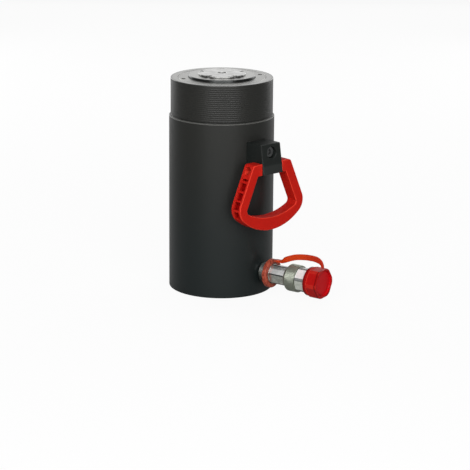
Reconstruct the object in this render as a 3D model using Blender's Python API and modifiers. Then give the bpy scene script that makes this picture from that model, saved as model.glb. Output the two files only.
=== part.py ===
"""Single-acting hydraulic cylinder with spring return, a carrying handle and a quick coupler.

Metres, +Z up. The origin is the centre of the base face, on the cylinder's axis.
The oil port and its coupler point along +X.
"""
import bpy
import bmesh
from math import atan2, cos, pi, radians, sin, sqrt, tan
from mathutils import Matrix, Vector

MM = 0.001
ORIGIN = (0.0, 0.0, 0.0)
FULL_TURN = 2 * pi
QUARTER_TURN = pi / 2

# Clearances and mesh fineness
SEAT_GAP = 0.3 * MM          # between pieces that touch on the real cylinder
MERGE_DISTANCE = 0.01 * MM
CUT_MARGIN = 1.0 * MM        # how far a cutter stands out of the face that it opens
BARREL_STEPS = 56
RING_STEPS = 36
INNER_STEPS = 30
FITTING_STEPS = 24
SMALL_STEPS = 16
ROUND_SECTION_SIDES = 6
WIRE_SECTION_STEPS = 2

# Barrel
BORE_RADIUS = 47.625 * MM
BARREL_WALL = 15.875 * MM
BARREL_HEIGHT = 259.3 * MM
BASE_THICKNESS = 22.0 * MM
COLLAR_STEP = 1.5 * MM       # how much smaller the threaded collar is than the body
COLLAR_HEIGHT = 45.8 * MM
COLLAR_CHAMFER = 1.0 * MM
SHOULDER_CHAMFER = 0.9 * MM
FOOT_CHAMFER = 1.5 * MM
BASE_HOLE_RADIUS = 5.1 * MM
BASE_HOLE_DEPTH = 14.0 * MM
BASE_HOLE_INSET = 15.9 * MM
BASE_HOLE_COUNT = 4
BASE_HOLE_TURN = radians(45.0)

# Gland nut, screwed into the mouth of the barrel
GLAND_STEP = 5.075 * MM      # how much larger the gland nut is than the bore
GLAND_HEIGHT = 38.0 * MM
GLAND_CHAMFER = 0.8 * MM
GLAND_LIP = 3.0 * MM
WIPER_ROOM = 6.3 * MM
WIPER_DEPTH = 3.7 * MM
WIPER_LIP = 1.6 * MM
BUSH_LENGTH = 18.0 * MM
BUSH_THICKNESS = 2.7 * MM
BUSH_FROM_FOOT = 5.0 * MM
SPANNER_HOLE_RADIUS = 3.0 * MM
SPANNER_HOLE_DEPTH = 8.0 * MM
SPANNER_HOLE_INSET = 4.5 * MM
SPANNER_HOLE_TURN = radians(54.0)

# Plunger and its piston
PLUNGER_STEP = 7.625 * MM    # how much smaller the plunger is than the bore
PLUNGER_STANDOUT = 2.8 * MM
PLUNGER_CHAMFER = 1.0 * MM
PLUNGER_WALL = 11.0 * MM
CROWN_THICKNESS = 28.0 * MM
SPIGOT_STEP = 6.0 * MM
SPIGOT_CHAMFER = 0.8 * MM
PISTON_HEIGHT = 68.7 * MM
PISTON_BORE_GAP = 0.325 * MM
PISTON_CHAMFER = 0.8 * MM
SKIRT_HEIGHT = 12.2 * MM
SKIRT_STEP = 2.8 * MM
SKIRT_TAPER = 1.5 * MM
SEAL_GROOVE_UP = 17.4 * MM
SEAL_GROOVE_HEIGHT = 13.9 * MM
SEAL_GROOVE_DEPTH = 6.3 * MM
SEAL_HEIGHT = 9.5 * MM
SEAL_LIP = 1.75 * MM
SEAL_NOTCH = 4.0 * MM
RUBBER_GAP = 0.275 * MM      # rubber and wear rings to the wall that they slide on
BAND_DOWN = 5.0 * MM
BAND_HEIGHT = 10.0 * MM
BAND_DEPTH = 2.5 * MM
INNER_RING_UP = 37.7 * MM
INNER_RING_HEIGHT = 4.0 * MM
INNER_RING_DEPTH = 2.7 * MM
INNER_RING_WIRE = 1.1 * MM
PISTON_NUT_RECESS = 10.7 * MM
PISTON_NUT_WALL = 7.4 * MM
PISTON_NUT_SHORT = 0.6 * MM
OIL_SLOT_WIDTH = 8.0 * MM
OIL_SLOT_DEPTH = 3.0 * MM

# Return spring and its two anchors
SPRING_WIRE_RADIUS = 3.2 * MM
SPRING_PITCH = 20.0 * MM
SPRING_POINTS_PER_TURN = 10
ANCHOR_PLUG_INSET = 10.0 * MM
ANCHOR_PLUG_HEIGHT = 19.7 * MM
ANCHOR_BOLT_RADIUS = 4.0 * MM
ANCHOR_BOLT_BITE = 9.7 * MM
ANCHOR_HEAD_RADIUS = 7.0 * MM
ANCHOR_HEAD_HEIGHT = 8.0 * MM

# Saddle
SADDLE_INSET = 11.3 * MM     # from the plunger's side to the saddle's rim
SADDLE_RISE = 2.2 * MM
SADDLE_CHAMFER = 0.5 * MM
SADDLE_SPIGOT_RADIUS = 12.0 * MM
SADDLE_SPIGOT_LENGTH = 13.7 * MM
SADDLE_SPIGOT_CHAMFER = 1.0 * MM
SADDLE_HOLE_RADIUS = 5.5 * MM
SADDLE_HOLE_DEPTH = 6.0 * MM
SADDLE_RING_DOWN = 9.0 * MM
SADDLE_RING_HEIGHT = 2.2 * MM
SADDLE_RING_DEPTH = 1.6 * MM
SADDLE_RING_WIRE = 0.65 * MM
SADDLE_NOTCH_COUNT = 5
SADDLE_NOTCH_WIDTH = 6.0 * MM
SADDLE_NOTCH_LENGTH = 6.0 * MM
SADDLE_NOTCH_DEPTH = 1.4 * MM
SADDLE_NOTCH_TURN = radians(126.0)

# Handle block, its screw and its pin
HANDLE_TURN = radians(-12.3)
BLOCK_HALF_WIDTH = 15.5 * MM
BLOCK_FOOT = 156.0 * MM
BLOCK_HEIGHT = 35.5 * MM
BLOCK_STANDOFF = 23.6 * MM   # of its front face at the top, from the barrel's side
BLOCK_LEAN = 5.6 * MM        # how much further out the front face is at the foot
BLOCK_BEVEL = 1.2 * MM
BLOCK_SCREW_DOWN = 10.2 * MM
BLOCK_SCREW_RADIUS = 3.9 * MM
BLOCK_SCREW_BITE = 10.7 * MM
BLOCK_SCREW_HEAD_RADIUS = 6.5 * MM
BLOCK_SCREW_HEAD_HEIGHT = 8.0 * MM
BLOCK_SCREW_HEAD_CHAMFER = 0.6 * MM
BLOCK_SCREW_SOCKET = 6.0 * MM
BLOCK_SCREW_SOCKET_DEPTH = 4.0 * MM
BLOCK_WASHER_THICKNESS = 1.6 * MM
COUNTERBORE_DEPTH = 14.2 * MM
HEAD_ROOM = 0.6 * MM
PIN_BEHIND_FACE = 9.8 * MM
PIN_UP = 6.8 * MM
PIN_RADIUS = 3.0 * MM
PIN_HALF_LENGTH = 22.6 * MM
PIN_CHAMFER = 0.5 * MM
CLIP_THICKNESS = 1.0 * MM
CLIP_RADIUS = 4.3 * MM

# Carrying handle
HANDLE_THICKNESS = 16.0 * MM
HANDLE_EAR_TOP = 6.9 * MM
HANDLE_EAR_FOOT = -7.0 * MM
HANDLE_HALF_TOP = 29.6 * MM
HANDLE_FLARE = radians(23.9)
HANDLE_ARM_WIDTH = 12.1 * MM
HANDLE_BAR_WIDTH = 15.6 * MM   # at its middle
HANDLE_DROP = 75.2 * MM
HANDLE_BAR_ARC = 68.8 * MM
HANDLE_BAR_INNER_ARC = 82.5 * MM
HANDLE_CORNER = 17.5 * MM
HANDLE_INNER_CORNER = 5.4 * MM
HANDLE_TOP_CORNER = 4.5 * MM
HANDLE_BEVEL = 1.1 * MM
ARC_PIECES = 6
PIN_RECESS_RADIUS = 4.65 * MM
PIN_RECESS_FLOOR = 20.5 * MM
POCKET_WIDTH = 10.6 * MM
POCKET_DEPTH = 7.0 * MM
POCKETS = (                  # distance down the arm's outer edge, and length along it
    (18.6 * MM, 2.6 * MM),
    (27.4 * MM, 9.4 * MM),
    (39.2 * MM, 9.0 * MM),
    (50.6 * MM, 9.4 * MM),
    (63.4 * MM, 10.0 * MM),
)

# Oil port and quick coupler, measured outwards along +X
COUPLER_HEIGHT = 27.0 * MM
PORT_MOUTH_CHAMFER = 1.4 * MM
OILWAY_RADIUS = 4.0 * MM
SHANK_RADIUS = 8.3 * MM
PORT_FLOOR = 1.6 * MM        # wall between the shank's end and the bore
SEAT_STANDOFF = 1.1 * MM
SEAT_RADIUS = 12.0 * MM
SEAT_LENGTH = 14.6 * MM
HEX_FLATS = 22.0 * MM
HEX_LENGTH = 21.8 * MM
HEX_CORNER_RADIUS = 12.5 * MM
HEX_CHAMFER = 0.8 * MM
HEX_TURN = radians(17.0)
STEM_RADIUS = 11.5 * MM
STEM_LENGTH = 17.0 * MM
CHAMBER_RADIUS = 7.0 * MM
CHAMBER_LENGTH = 22.5 * MM
NOSE_THREAD_RADIUS = 8.7 * MM
NOSE_THREAD_LENGTH = 10.5 * MM

COLLAR_SLEEVE_RADIUS = 16.6 * MM
COLLAR_SLEEVE_BACK = 13.0 * MM
COLLAR_SLEEVE_CONE = 3.6 * MM
COLLAR_SLEEVE_CHAMFER = 0.8 * MM

NOSE_FLATS = 28.0 * MM
NOSE_CORNER_RADIUS = 15.4 * MM
NOSE_HEX_LENGTH = 13.3 * MM
NOSE_NECK_RADIUS = 12.0 * MM
NOSE_RADIUS = 13.2 * MM
NOSE_LENGTH = 14.3 * MM
NOSE_CHAMFER = 0.8 * MM
NOSE_SOCKET_RADIUS = 9.0 * MM
NOSE_SOCKET_DEPTH = 18.0 * MM
NOSE_OILWAY_RADIUS = 4.5 * MM
NOSE_RING_DOWN = 6.0 * MM
NOSE_RING_HEIGHT = 3.0 * MM
NOSE_RING_DEPTH = 1.6 * MM
NOSE_RING_WIRE = 0.9 * MM

BALL_RADIUS = 5.5 * MM
BALL_SPRING_MEAN = 4.2 * MM
BALL_SPRING_WIRE = 0.5 * MM
BALL_SPRING_TURNS = 4
BALL_SPRING_POINTS = 8
BALL_SPRING_SHORT = 5.1 * MM
SPRING_SEAT_THICKNESS = 1.7 * MM
SPRING_SEAT_HOLE = 2.0 * MM

# Dust cap and its tether
CAP_RADIUS = 18.7 * MM
CAP_FLATS = 35.7 * MM
CAP_TURN = radians(15.0)
CAP_RIM_RADIUS = 17.6 * MM
CAP_RIM_LENGTH = 3.9 * MM
CAP_END_ROOM = 2.4 * MM      # between the nose's end and the cap's
CAP_END_WALL = 1.9 * MM
CAP_CHAMFER = 1.2 * MM
CAP_RECESS_RADIUS = 13.4 * MM
CAP_RECESS_DEPTH = 1.5 * MM
CAP_RECESS_DRAFT = 0.6 * MM
TETHER_RING_RADIUS = 17.6 * MM
TETHER_RING_LENGTH = 5.8 * MM
TETHER_RING_FRONT_GAP = 0.4 * MM
TETHER_RING_CHAMFER = 1.6 * MM
STRAP_THICKNESS = 2.4 * MM
STRAP_SINK = 1.9 * MM        # how far the strap's root lies under the ring's rim
STRAP_END_BACK = 2.4 * MM    # how far the strap's end stays behind the cap's front
STRAP_FLAT = 0.0
STRAP_ON_EDGE = 1.0
STRAP_ROUTE = (   # share of the way to the cap, height over the straight line, width, twist as a share
    (0.000, 0.0 * MM, 6.0 * MM, STRAP_FLAT),
    (0.074, 1.0 * MM, 6.4 * MM, STRAP_FLAT),
    (0.155, 0.8 * MM, 6.4 * MM, 0.06),
    (0.206, 1.4 * MM, 6.6 * MM, 0.30),
    (0.254, 3.1 * MM, 6.8 * MM, 0.70),
    (0.315, 5.0 * MM, 7.0 * MM, 0.96),
    (0.385, 6.8 * MM, 7.0 * MM, STRAP_ON_EDGE),
    (0.473, 8.6 * MM, 7.0 * MM, STRAP_ON_EDGE),
    (0.591, 9.8 * MM, 7.0 * MM, STRAP_ON_EDGE),
    (0.707, 10.3 * MM, 7.0 * MM, STRAP_ON_EDGE),
    (0.826, 10.0 * MM, 7.0 * MM, STRAP_ON_EDGE),
    (0.904, 8.8 * MM, 6.8 * MM, STRAP_ON_EDGE),
    (0.958, 6.6 * MM, 5.4 * MM, STRAP_ON_EDGE),
    (0.990, 3.4 * MM, 3.8 * MM, STRAP_ON_EDGE),
    (1.000, 0.0 * MM, 3.4 * MM, STRAP_ON_EDGE),
)

# Radii, worked out from the sizes above
barrel_radius = BORE_RADIUS + BARREL_WALL
collar_radius = barrel_radius - COLLAR_STEP
gland_radius = BORE_RADIUS + GLAND_STEP
plunger_radius = BORE_RADIUS - PLUNGER_STEP
plunger_bore_radius = plunger_radius - PLUNGER_WALL
spigot_radius = plunger_radius - SPIGOT_STEP
anchor_plug_radius = plunger_bore_radius - ANCHOR_PLUG_INSET
saddle_radius = plunger_radius - SADDLE_INSET
base_hole_circle = barrel_radius - BASE_HOLE_INSET
spanner_hole_circle = gland_radius - SPANNER_HOLE_INSET

# Levels along the cylinder's axis
shoulder_level = BARREL_HEIGHT - COLLAR_HEIGHT
gland_foot = BARREL_HEIGHT - GLAND_HEIGHT
piston_foot = BASE_THICKNESS + SEAT_GAP
piston_top = piston_foot + PISTON_HEIGHT
plunger_top = BARREL_HEIGHT + PLUNGER_STANDOUT
plunger_ceiling = plunger_top - CROWN_THICKNESS
socket_floor = plunger_top - SADDLE_SPIGOT_LENGTH - SEAT_GAP
piston_radius = BORE_RADIUS - PISTON_BORE_GAP
piston_inner_radius = spigot_radius + SEAT_GAP
piston_nut_radius = piston_inner_radius + PISTON_NUT_WALL
skirt_radius = piston_radius - SKIRT_STEP
rubber_radius = BORE_RADIUS - RUBBER_GAP
gland_inner_radius = plunger_radius + SEAT_GAP
spring_mean_radius = ((anchor_plug_radius + SEAT_GAP + SPRING_WIRE_RADIUS)
                      / cos(pi / SPRING_POINTS_PER_TURN))

# Places on the handle's block
block_top = BLOCK_FOOT + BLOCK_HEIGHT
block_reach_top = barrel_radius + BLOCK_STANDOFF
block_reach_foot = block_reach_top + BLOCK_LEAN
block_screw_height = block_top - BLOCK_SCREW_DOWN
face_at_screw = block_reach_top + BLOCK_LEAN * BLOCK_SCREW_DOWN / BLOCK_HEIGHT
counterbore_floor = face_at_screw - COUNTERBORE_DEPTH
pin_reach = block_reach_foot - PIN_BEHIND_FACE
pin_height = BLOCK_FOOT + PIN_UP

# Stations along the coupler's axis
shank_end = BORE_RADIUS + PORT_FLOOR
seat_back = barrel_radius + SEAT_STANDOFF
hex_back = seat_back + SEAT_LENGTH
hex_front = hex_back + HEX_LENGTH
stem_front = hex_front + STEM_LENGTH
nose_back = stem_front + SEAT_GAP + SEAT_GAP / 3
nose_tail = nose_back - NOSE_THREAD_LENGTH
nose_shoulder = nose_back + NOSE_HEX_LENGTH
nose_front = nose_shoulder + NOSE_LENGTH
chamber_back = nose_tail - SEAT_GAP - CHAMBER_LENGTH
cap_back = nose_shoulder + SEAT_GAP
cap_room_end = nose_front + CAP_END_ROOM
cap_front = cap_room_end + CAP_END_WALL + CAP_RECESS_DEPTH
ring_front = hex_back - TETHER_RING_FRONT_GAP
ring_back = ring_front - TETHER_RING_LENGTH
ball_station = nose_tail - SEAT_GAP - sqrt(BALL_RADIUS ** 2 - NOSE_OILWAY_RADIUS ** 2)

# Colours as red, green, blue, then roughness and metallic
FINISHES = {
    "black_paint": ((0.038, 0.042, 0.042), 0.45, 0.0),
    "bare_steel": ((0.45, 0.45, 0.44), 0.35, 1.0),
    "dark_steel": ((0.16, 0.16, 0.16), 0.40, 1.0),
    "spring_steel": ((0.30, 0.30, 0.31), 0.35, 1.0),
    "zinc_plate": ((0.62, 0.63, 0.60), 0.28, 1.0),
    "red_nylon": ((0.48, 0.006, 0.006), 0.42, 0.0),
    "red_cap_plastic": ((0.52, 0.008, 0.008), 0.25, 0.0),
    "orange_tether": ((0.60, 0.035, 0.010), 0.40, 0.0),
    "black_nylon": ((0.020, 0.022, 0.022), 0.55, 0.0),
    "seal_rubber": ((0.015, 0.015, 0.015), 0.70, 0.0),
    "seal_urethane": ((0.05, 0.12, 0.30), 0.45, 0.0),
    "guide_bronze": ((0.55, 0.36, 0.16), 0.40, 1.0),
    "brass": ((0.70, 0.50, 0.20), 0.35, 1.0),
}


def clear_scene():
    """Remove what the startup file holds."""
    for leftover in list(bpy.data.objects):
        bpy.data.objects.remove(leftover, do_unlink=True)


def new_collection(name, hidden=False):
    """A collection under the scene's own; the cutters' one doesn't render."""
    collection = bpy.data.collections.new(name)
    bpy.context.scene.collection.children.link(collection)
    collection.hide_render = hidden
    return collection


clear_scene()
PARTS = new_collection("hydraulic_cylinder")
CUTTERS = new_collection("cutters", hidden=True)


def new_material(name, finish):
    """One Principled material for one piece."""
    colour, roughness, metallic = FINISHES[finish]
    material = bpy.data.materials.new(name + "_" + finish)
    material.use_nodes = True
    shader = material.node_tree.nodes["Principled BSDF"]
    shader.inputs["Base Color"].default_value = (*colour, 1.0)
    shader.inputs["Roughness"].default_value = roughness
    shader.inputs["Metallic"].default_value = metallic
    material.diffuse_color = (*colour, 1.0)
    return material


def new_empty(name, location=ORIGIN, rotation=ORIGIN, parent=None):
    """An axis or a station that pieces hang on."""
    empty = bpy.data.objects.new(name, None)
    empty.location = location
    empty.rotation_euler = rotation
    empty.parent = parent
    PARTS.objects.link(empty)
    return empty


def new_piece(name, mesh, finish, parent=None):
    """Put a mesh in the scene: a piece with a finish, or a cutter where finish is None."""
    piece = bpy.data.objects.new(name, mesh)
    piece.parent = parent
    if finish is None:
        CUTTERS.objects.link(piece)
        piece.hide_render = True
        piece.display_type = "WIRE"
    else:
        PARTS.objects.link(piece)
        mesh.materials.append(new_material(name, finish))
    return piece


def turned(name, profile, finish=None, steps=RING_STEPS, parent=None):
    """Turn a profile of (radius, level) about local Z.

    The profile runs down its outer side. It either starts and ends on the axis or closes on itself.
    """
    mesh = bpy.data.meshes.new(name)
    shape = bmesh.new()
    corners = [shape.verts.new((radius, 0.0, level)) for radius, level in profile]
    for first, second in zip(corners, corners[1:]):
        shape.edges.new((first, second))
    if profile[0][0] > 0.0 and profile[-1][0] > 0.0:
        shape.edges.new((corners[-1], corners[0]))
    shape.to_mesh(mesh)
    shape.free()
    piece = new_piece(name, mesh, finish, parent)
    screw = piece.modifiers.new("turn", "SCREW")
    screw.axis = "Z"
    screw.angle = FULL_TURN
    screw.steps = steps
    screw.render_steps = steps
    screw.use_merge_vertices = True
    screw.merge_threshold = MERGE_DISTANCE
    screw.use_smooth_shade = True
    return piece


def ring_profile(outer, inner, foot, top, chamfer=0.0):
    """A plain ring, with its two outer corners chamfered where a chamfer is given."""
    if chamfer == 0.0:
        return [(outer, top), (outer, foot), (inner, foot), (inner, top)]
    return [(outer - chamfer, top), (outer, top - chamfer), (outer, foot + chamfer),
            (outer - chamfer, foot), (inner, foot), (inner, top)]


def rod_profile(radius, foot, top, chamfer=0.0):
    """A plain rod, with its ends chamfered where a chamfer is given."""
    if chamfer == 0.0:
        return [(0.0, top), (radius, top), (radius, foot), (0.0, foot)]
    return [(0.0, top), (radius - chamfer, top), (radius, top - chamfer),
            (radius, foot + chamfer), (radius - chamfer, foot), (0.0, foot)]


def cord_ring_profile(major, wire, level):
    """The round section of an O-ring, run down its outer side."""
    count = ROUND_SECTION_SIDES
    angles = [QUARTER_TURN - FULL_TURN * index / count for index in range(count)]
    return [(major + wire * cos(angle), level + wire * sin(angle)) for angle in angles]


def block_cutter(name, size, matrix, parent=None):
    """A box cutter, centred on a matrix."""
    mesh = bpy.data.meshes.new(name)
    shape = bmesh.new()
    bmesh.ops.create_cube(shape, size=1.0, matrix=matrix @ Matrix.Diagonal((*size, 1.0)))
    shape.to_mesh(mesh)
    shape.free()
    return new_piece(name, mesh, None, parent)


def hex_prism(name, flats, foot, top, turn=0.0, parent=None):
    """A six-sided prism about local Z, made as a cutter; unturned, it has a corner on local X."""
    mesh = bpy.data.meshes.new(name)
    shape = bmesh.new()
    corner_radius = flats / sqrt(3.0)
    place = (Matrix.Translation((0.0, 0.0, (foot + top) / 2))
             @ Matrix.Rotation(turn - QUARTER_TURN, 4, "Z"))
    bmesh.ops.create_cone(shape, cap_ends=True, segments=6, radius1=corner_radius,
                          radius2=corner_radius, depth=top - foot, matrix=place)
    shape.to_mesh(mesh)
    shape.free()
    return new_piece(name, mesh, None, parent)


def combine(target, other, operation):
    """Add an exact Boolean to a piece."""
    boolean = target.modifiers.new(operation.lower(), "BOOLEAN")
    boolean.operation = operation
    boolean.solver = "EXACT"
    boolean.object = other


def cut(target, *cutters):
    for cutter in cutters:
        combine(target, cutter, "DIFFERENCE")


def join(target, other):
    combine(target, other, "UNION")


def chamfered_hex(name, flats, corner_radius, foot, top, chamfer, turn, parent):
    """A hexagon whose corners are turned off, as on a bar of hexagon steel."""
    prism = hex_prism(name, flats, foot, top, turn, parent)
    limit = turned(name + "_limit", rod_profile(corner_radius, foot, top, chamfer),
                   steps=FITTING_STEPS, parent=parent)
    combine(prism, limit, "INTERSECT")
    return prism


def mesh_of_curve(name, curve_object, finish):
    """Turn a curve into a closed mesh piece that can be cut, in the curve's place."""
    bpy.context.view_layer.update()
    evaluated = curve_object.evaluated_get(bpy.context.evaluated_depsgraph_get())
    mesh = bpy.data.meshes.new_from_object(evaluated)
    mesh.name = name
    shape = bmesh.new()
    shape.from_mesh(mesh)
    bmesh.ops.remove_doubles(shape, verts=shape.verts, dist=MERGE_DISTANCE)
    shape.to_mesh(mesh)
    shape.free()
    mesh.materials.clear()
    parent = curve_object.parent
    place = curve_object.matrix_local.copy()
    bpy.data.objects.remove(curve_object, do_unlink=True)
    piece = new_piece(name, mesh, finish, parent)
    piece.matrix_local = place
    mesh.shade_smooth()
    mesh.set_sharp_from_angle(angle=radians(30.0))
    return piece


def plate(name, outline, thickness, finish, rotation, parent):
    """A flat plate from a closed outline, drawn in its own XY plane and centred on it."""
    curve = bpy.data.curves.new(name + "_outline", "CURVE")
    curve.dimensions = "2D"
    curve.fill_mode = "BOTH"
    curve.extrude = thickness / 2
    spline = curve.splines.new("POLY")
    spline.points.add(len(outline) - 1)
    for point, (across, up) in zip(spline.points, outline):
        point.co = (across, up, 0.0, 1.0)
    spline.use_cyclic_u = True
    drawing = bpy.data.objects.new(name + "_outline", curve)
    drawing.rotation_euler = rotation
    drawing.parent = parent
    PARTS.objects.link(drawing)
    return mesh_of_curve(name, drawing, finish)


def bevel_edges(piece, width, segments=2):
    bevel = piece.modifiers.new("edges", "BEVEL")
    bevel.width = width
    bevel.segments = segments
    bevel.limit_method = "ANGLE"
    bevel.angle_limit = radians(40.0)
    bevel.use_clamp_overlap = True


def coil(name, mean_radius, wire_radius, foot, top, turns, points_per_turn, finish, parent=None):
    """A round-wire coil about local Z, from the centre of its first turn to that of its last."""
    curve = bpy.data.curves.new(name + "_wire", "CURVE")
    curve.dimensions = "3D"
    curve.bevel_depth = wire_radius
    curve.bevel_resolution = WIRE_SECTION_STEPS
    curve.use_fill_caps = True
    count = round(turns * points_per_turn)
    spline = curve.splines.new("POLY")
    spline.points.add(count)
    for index, point in enumerate(spline.points):
        angle = FULL_TURN * index / points_per_turn
        level = foot + (top - foot) * index / count
        point.co = (mean_radius * cos(angle), mean_radius * sin(angle), level, 1.0)
    wire = bpy.data.objects.new(name + "_wire", curve)
    wire.parent = parent
    PARTS.objects.link(wire)
    return mesh_of_curve(name, wire, finish)


# Stations that groups of pieces hang on
plunger_axis = new_empty("plunger_axis")
saddle_axis = new_empty("saddle_axis", parent=plunger_axis)
coupler_axis = new_empty("coupler_axis", (0.0, 0.0, COUPLER_HEIGHT), (0.0, QUARTER_TURN, 0.0))
handle_station = new_empty("handle_station", rotation=(0.0, 0.0, HANDLE_TURN))
handle_hinge = new_empty("handle_hinge", (pin_reach, 0.0, pin_height), parent=handle_station)
pin_axis = new_empty("pin_axis", rotation=(-QUARTER_TURN, 0.0, 0.0), parent=handle_hinge)
block_screw_axis = new_empty("block_screw_axis", (0.0, 0.0, block_screw_height),
                             (0.0, QUARTER_TURN, 0.0), handle_station)


def make_barrel():
    """A deep steel cup with a solid base, an outer collar and a wider mouth for the gland nut."""
    anchor_hole_floor = BASE_THICKNESS - ANCHOR_BOLT_BITE - SEAT_GAP
    anchor_hole_radius = ANCHOR_BOLT_RADIUS + SEAT_GAP
    mouth_radius = gland_radius + SEAT_GAP
    mouth_step = gland_foot - SEAT_GAP
    barrel = turned("barrel", [
        (0.0, anchor_hole_floor),
        (anchor_hole_radius, anchor_hole_floor),
        (anchor_hole_radius, BASE_THICKNESS),
        (BORE_RADIUS, BASE_THICKNESS),
        (BORE_RADIUS, mouth_step),
        (mouth_radius, mouth_step),
        (mouth_radius, BARREL_HEIGHT),
        (collar_radius - COLLAR_CHAMFER, BARREL_HEIGHT),
        (collar_radius, BARREL_HEIGHT - COLLAR_CHAMFER),
        (collar_radius, shoulder_level),
        (barrel_radius - SHOULDER_CHAMFER, shoulder_level),
        (barrel_radius, shoulder_level - SHOULDER_CHAMFER),
        (barrel_radius, FOOT_CHAMFER),
        (barrel_radius - FOOT_CHAMFER, 0.0),
        (0.0, 0.0),
    ], "black_paint", BARREL_STEPS)
    port_radius = SHANK_RADIUS + SEAT_GAP
    mouth = barrel_radius + CUT_MARGIN
    port = turned("port_cutter", [
        (0.0, mouth),
        (port_radius + PORT_MOUTH_CHAMFER + CUT_MARGIN, mouth),
        (port_radius, barrel_radius - PORT_MOUTH_CHAMFER),
        (port_radius, shank_end - SEAT_GAP),
        (OILWAY_RADIUS, shank_end - SEAT_GAP),
        (OILWAY_RADIUS, BORE_RADIUS - CUT_MARGIN),
        (0.0, BORE_RADIUS - CUT_MARGIN),
    ], steps=FITTING_STEPS, parent=coupler_axis)
    screw_hole = turned("block_screw_hole_cutter",
                        rod_profile(BLOCK_SCREW_RADIUS + SEAT_GAP,
                                    barrel_radius - BLOCK_SCREW_BITE - SEAT_GAP, mouth),
                        steps=SMALL_STEPS, parent=block_screw_axis)
    cut(barrel, port, screw_hole)
    for index in range(BASE_HOLE_COUNT):
        angle = BASE_HOLE_TURN + FULL_TURN * index / BASE_HOLE_COUNT
        hole = turned(f"base_hole_cutter_{index + 1}",
                      rod_profile(BASE_HOLE_RADIUS, -CUT_MARGIN, BASE_HOLE_DEPTH), steps=SMALL_STEPS)
        hole.location = (base_hole_circle * cos(angle), base_hole_circle * sin(angle), 0.0)
        cut(barrel, hole)


def make_gland():
    """The nut that closes the barrel and stops the piston, with its wiper and guide bush."""
    wiper_top = BARREL_HEIGHT - GLAND_LIP
    wiper_foot = wiper_top - WIPER_ROOM
    wiper_wall = gland_inner_radius + WIPER_DEPTH
    bush_foot = gland_foot + BUSH_FROM_FOOT
    bush_top = bush_foot + BUSH_LENGTH + 2 * SEAT_GAP
    bush_wall = gland_inner_radius + BUSH_THICKNESS + SEAT_GAP
    gland = turned("gland_nut", [
        (gland_radius - GLAND_CHAMFER, BARREL_HEIGHT),
        (gland_radius, BARREL_HEIGHT - GLAND_CHAMFER),
        (gland_radius, gland_foot),
        (gland_inner_radius, gland_foot),
        (gland_inner_radius, bush_foot),
        (bush_wall, bush_foot),
        (bush_wall, bush_top),
        (gland_inner_radius, bush_top),
        (gland_inner_radius, wiper_foot),
        (wiper_wall, wiper_foot),
        (wiper_wall, wiper_top),
        (gland_inner_radius, wiper_top),
        (gland_inner_radius, BARREL_HEIGHT),
    ], "bare_steel")
    for index in range(2):
        angle = SPANNER_HOLE_TURN + pi * index
        hole = turned(f"spanner_hole_cutter_{index + 1}",
                      rod_profile(SPANNER_HOLE_RADIUS, BARREL_HEIGHT - SPANNER_HOLE_DEPTH,
                                  BARREL_HEIGHT + CUT_MARGIN), steps=SMALL_STEPS)
        hole.location = (spanner_hole_circle * cos(angle), spanner_hole_circle * sin(angle), 0.0)
        cut(gland, hole)
    lip_root = gland_inner_radius + WIPER_LIP
    turned("rod_wiper", [
        (wiper_wall - SEAT_GAP, wiper_top - SEAT_GAP),
        (wiper_wall - SEAT_GAP, wiper_foot + SEAT_GAP),
        (gland_inner_radius, wiper_foot + SEAT_GAP),
        (gland_inner_radius, wiper_top - SEAT_GAP),
        (lip_root, wiper_top - WIPER_LIP - SEAT_GAP),
    ], "seal_urethane")
    turned("guide_bush", ring_profile(gland_inner_radius + BUSH_THICKNESS, gland_inner_radius,
                                      bush_foot + SEAT_GAP, bush_top - SEAT_GAP), "guide_bronze")


def make_plunger():
    """The hollow ram: solid crown with a socket for the saddle, and a spigot for the piston."""
    bolt_hole_radius = ANCHOR_BOLT_RADIUS + SEAT_GAP
    bolt_hole_end = plunger_ceiling + ANCHOR_BOLT_BITE + SEAT_GAP
    shoulder = piston_top + SEAT_GAP
    spigot_foot = piston_foot + SEAT_GAP
    socket_radius = SADDLE_SPIGOT_RADIUS + SEAT_GAP
    turned("plunger", [
        (0.0, socket_floor),
        (socket_radius, socket_floor),
        (socket_radius, plunger_top),
        (plunger_radius - PLUNGER_CHAMFER, plunger_top),
        (plunger_radius, plunger_top - PLUNGER_CHAMFER),
        (plunger_radius, shoulder),
        (spigot_radius, shoulder),
        (spigot_radius, spigot_foot + SPIGOT_CHAMFER),
        (spigot_radius - SPIGOT_CHAMFER, spigot_foot),
        (plunger_bore_radius, spigot_foot),
        (plunger_bore_radius, plunger_ceiling),
        (bolt_hole_radius, plunger_ceiling),
        (bolt_hole_radius, bolt_hole_end),
        (0.0, bolt_hole_end),
    ], "bare_steel", parent=plunger_axis)


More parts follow.
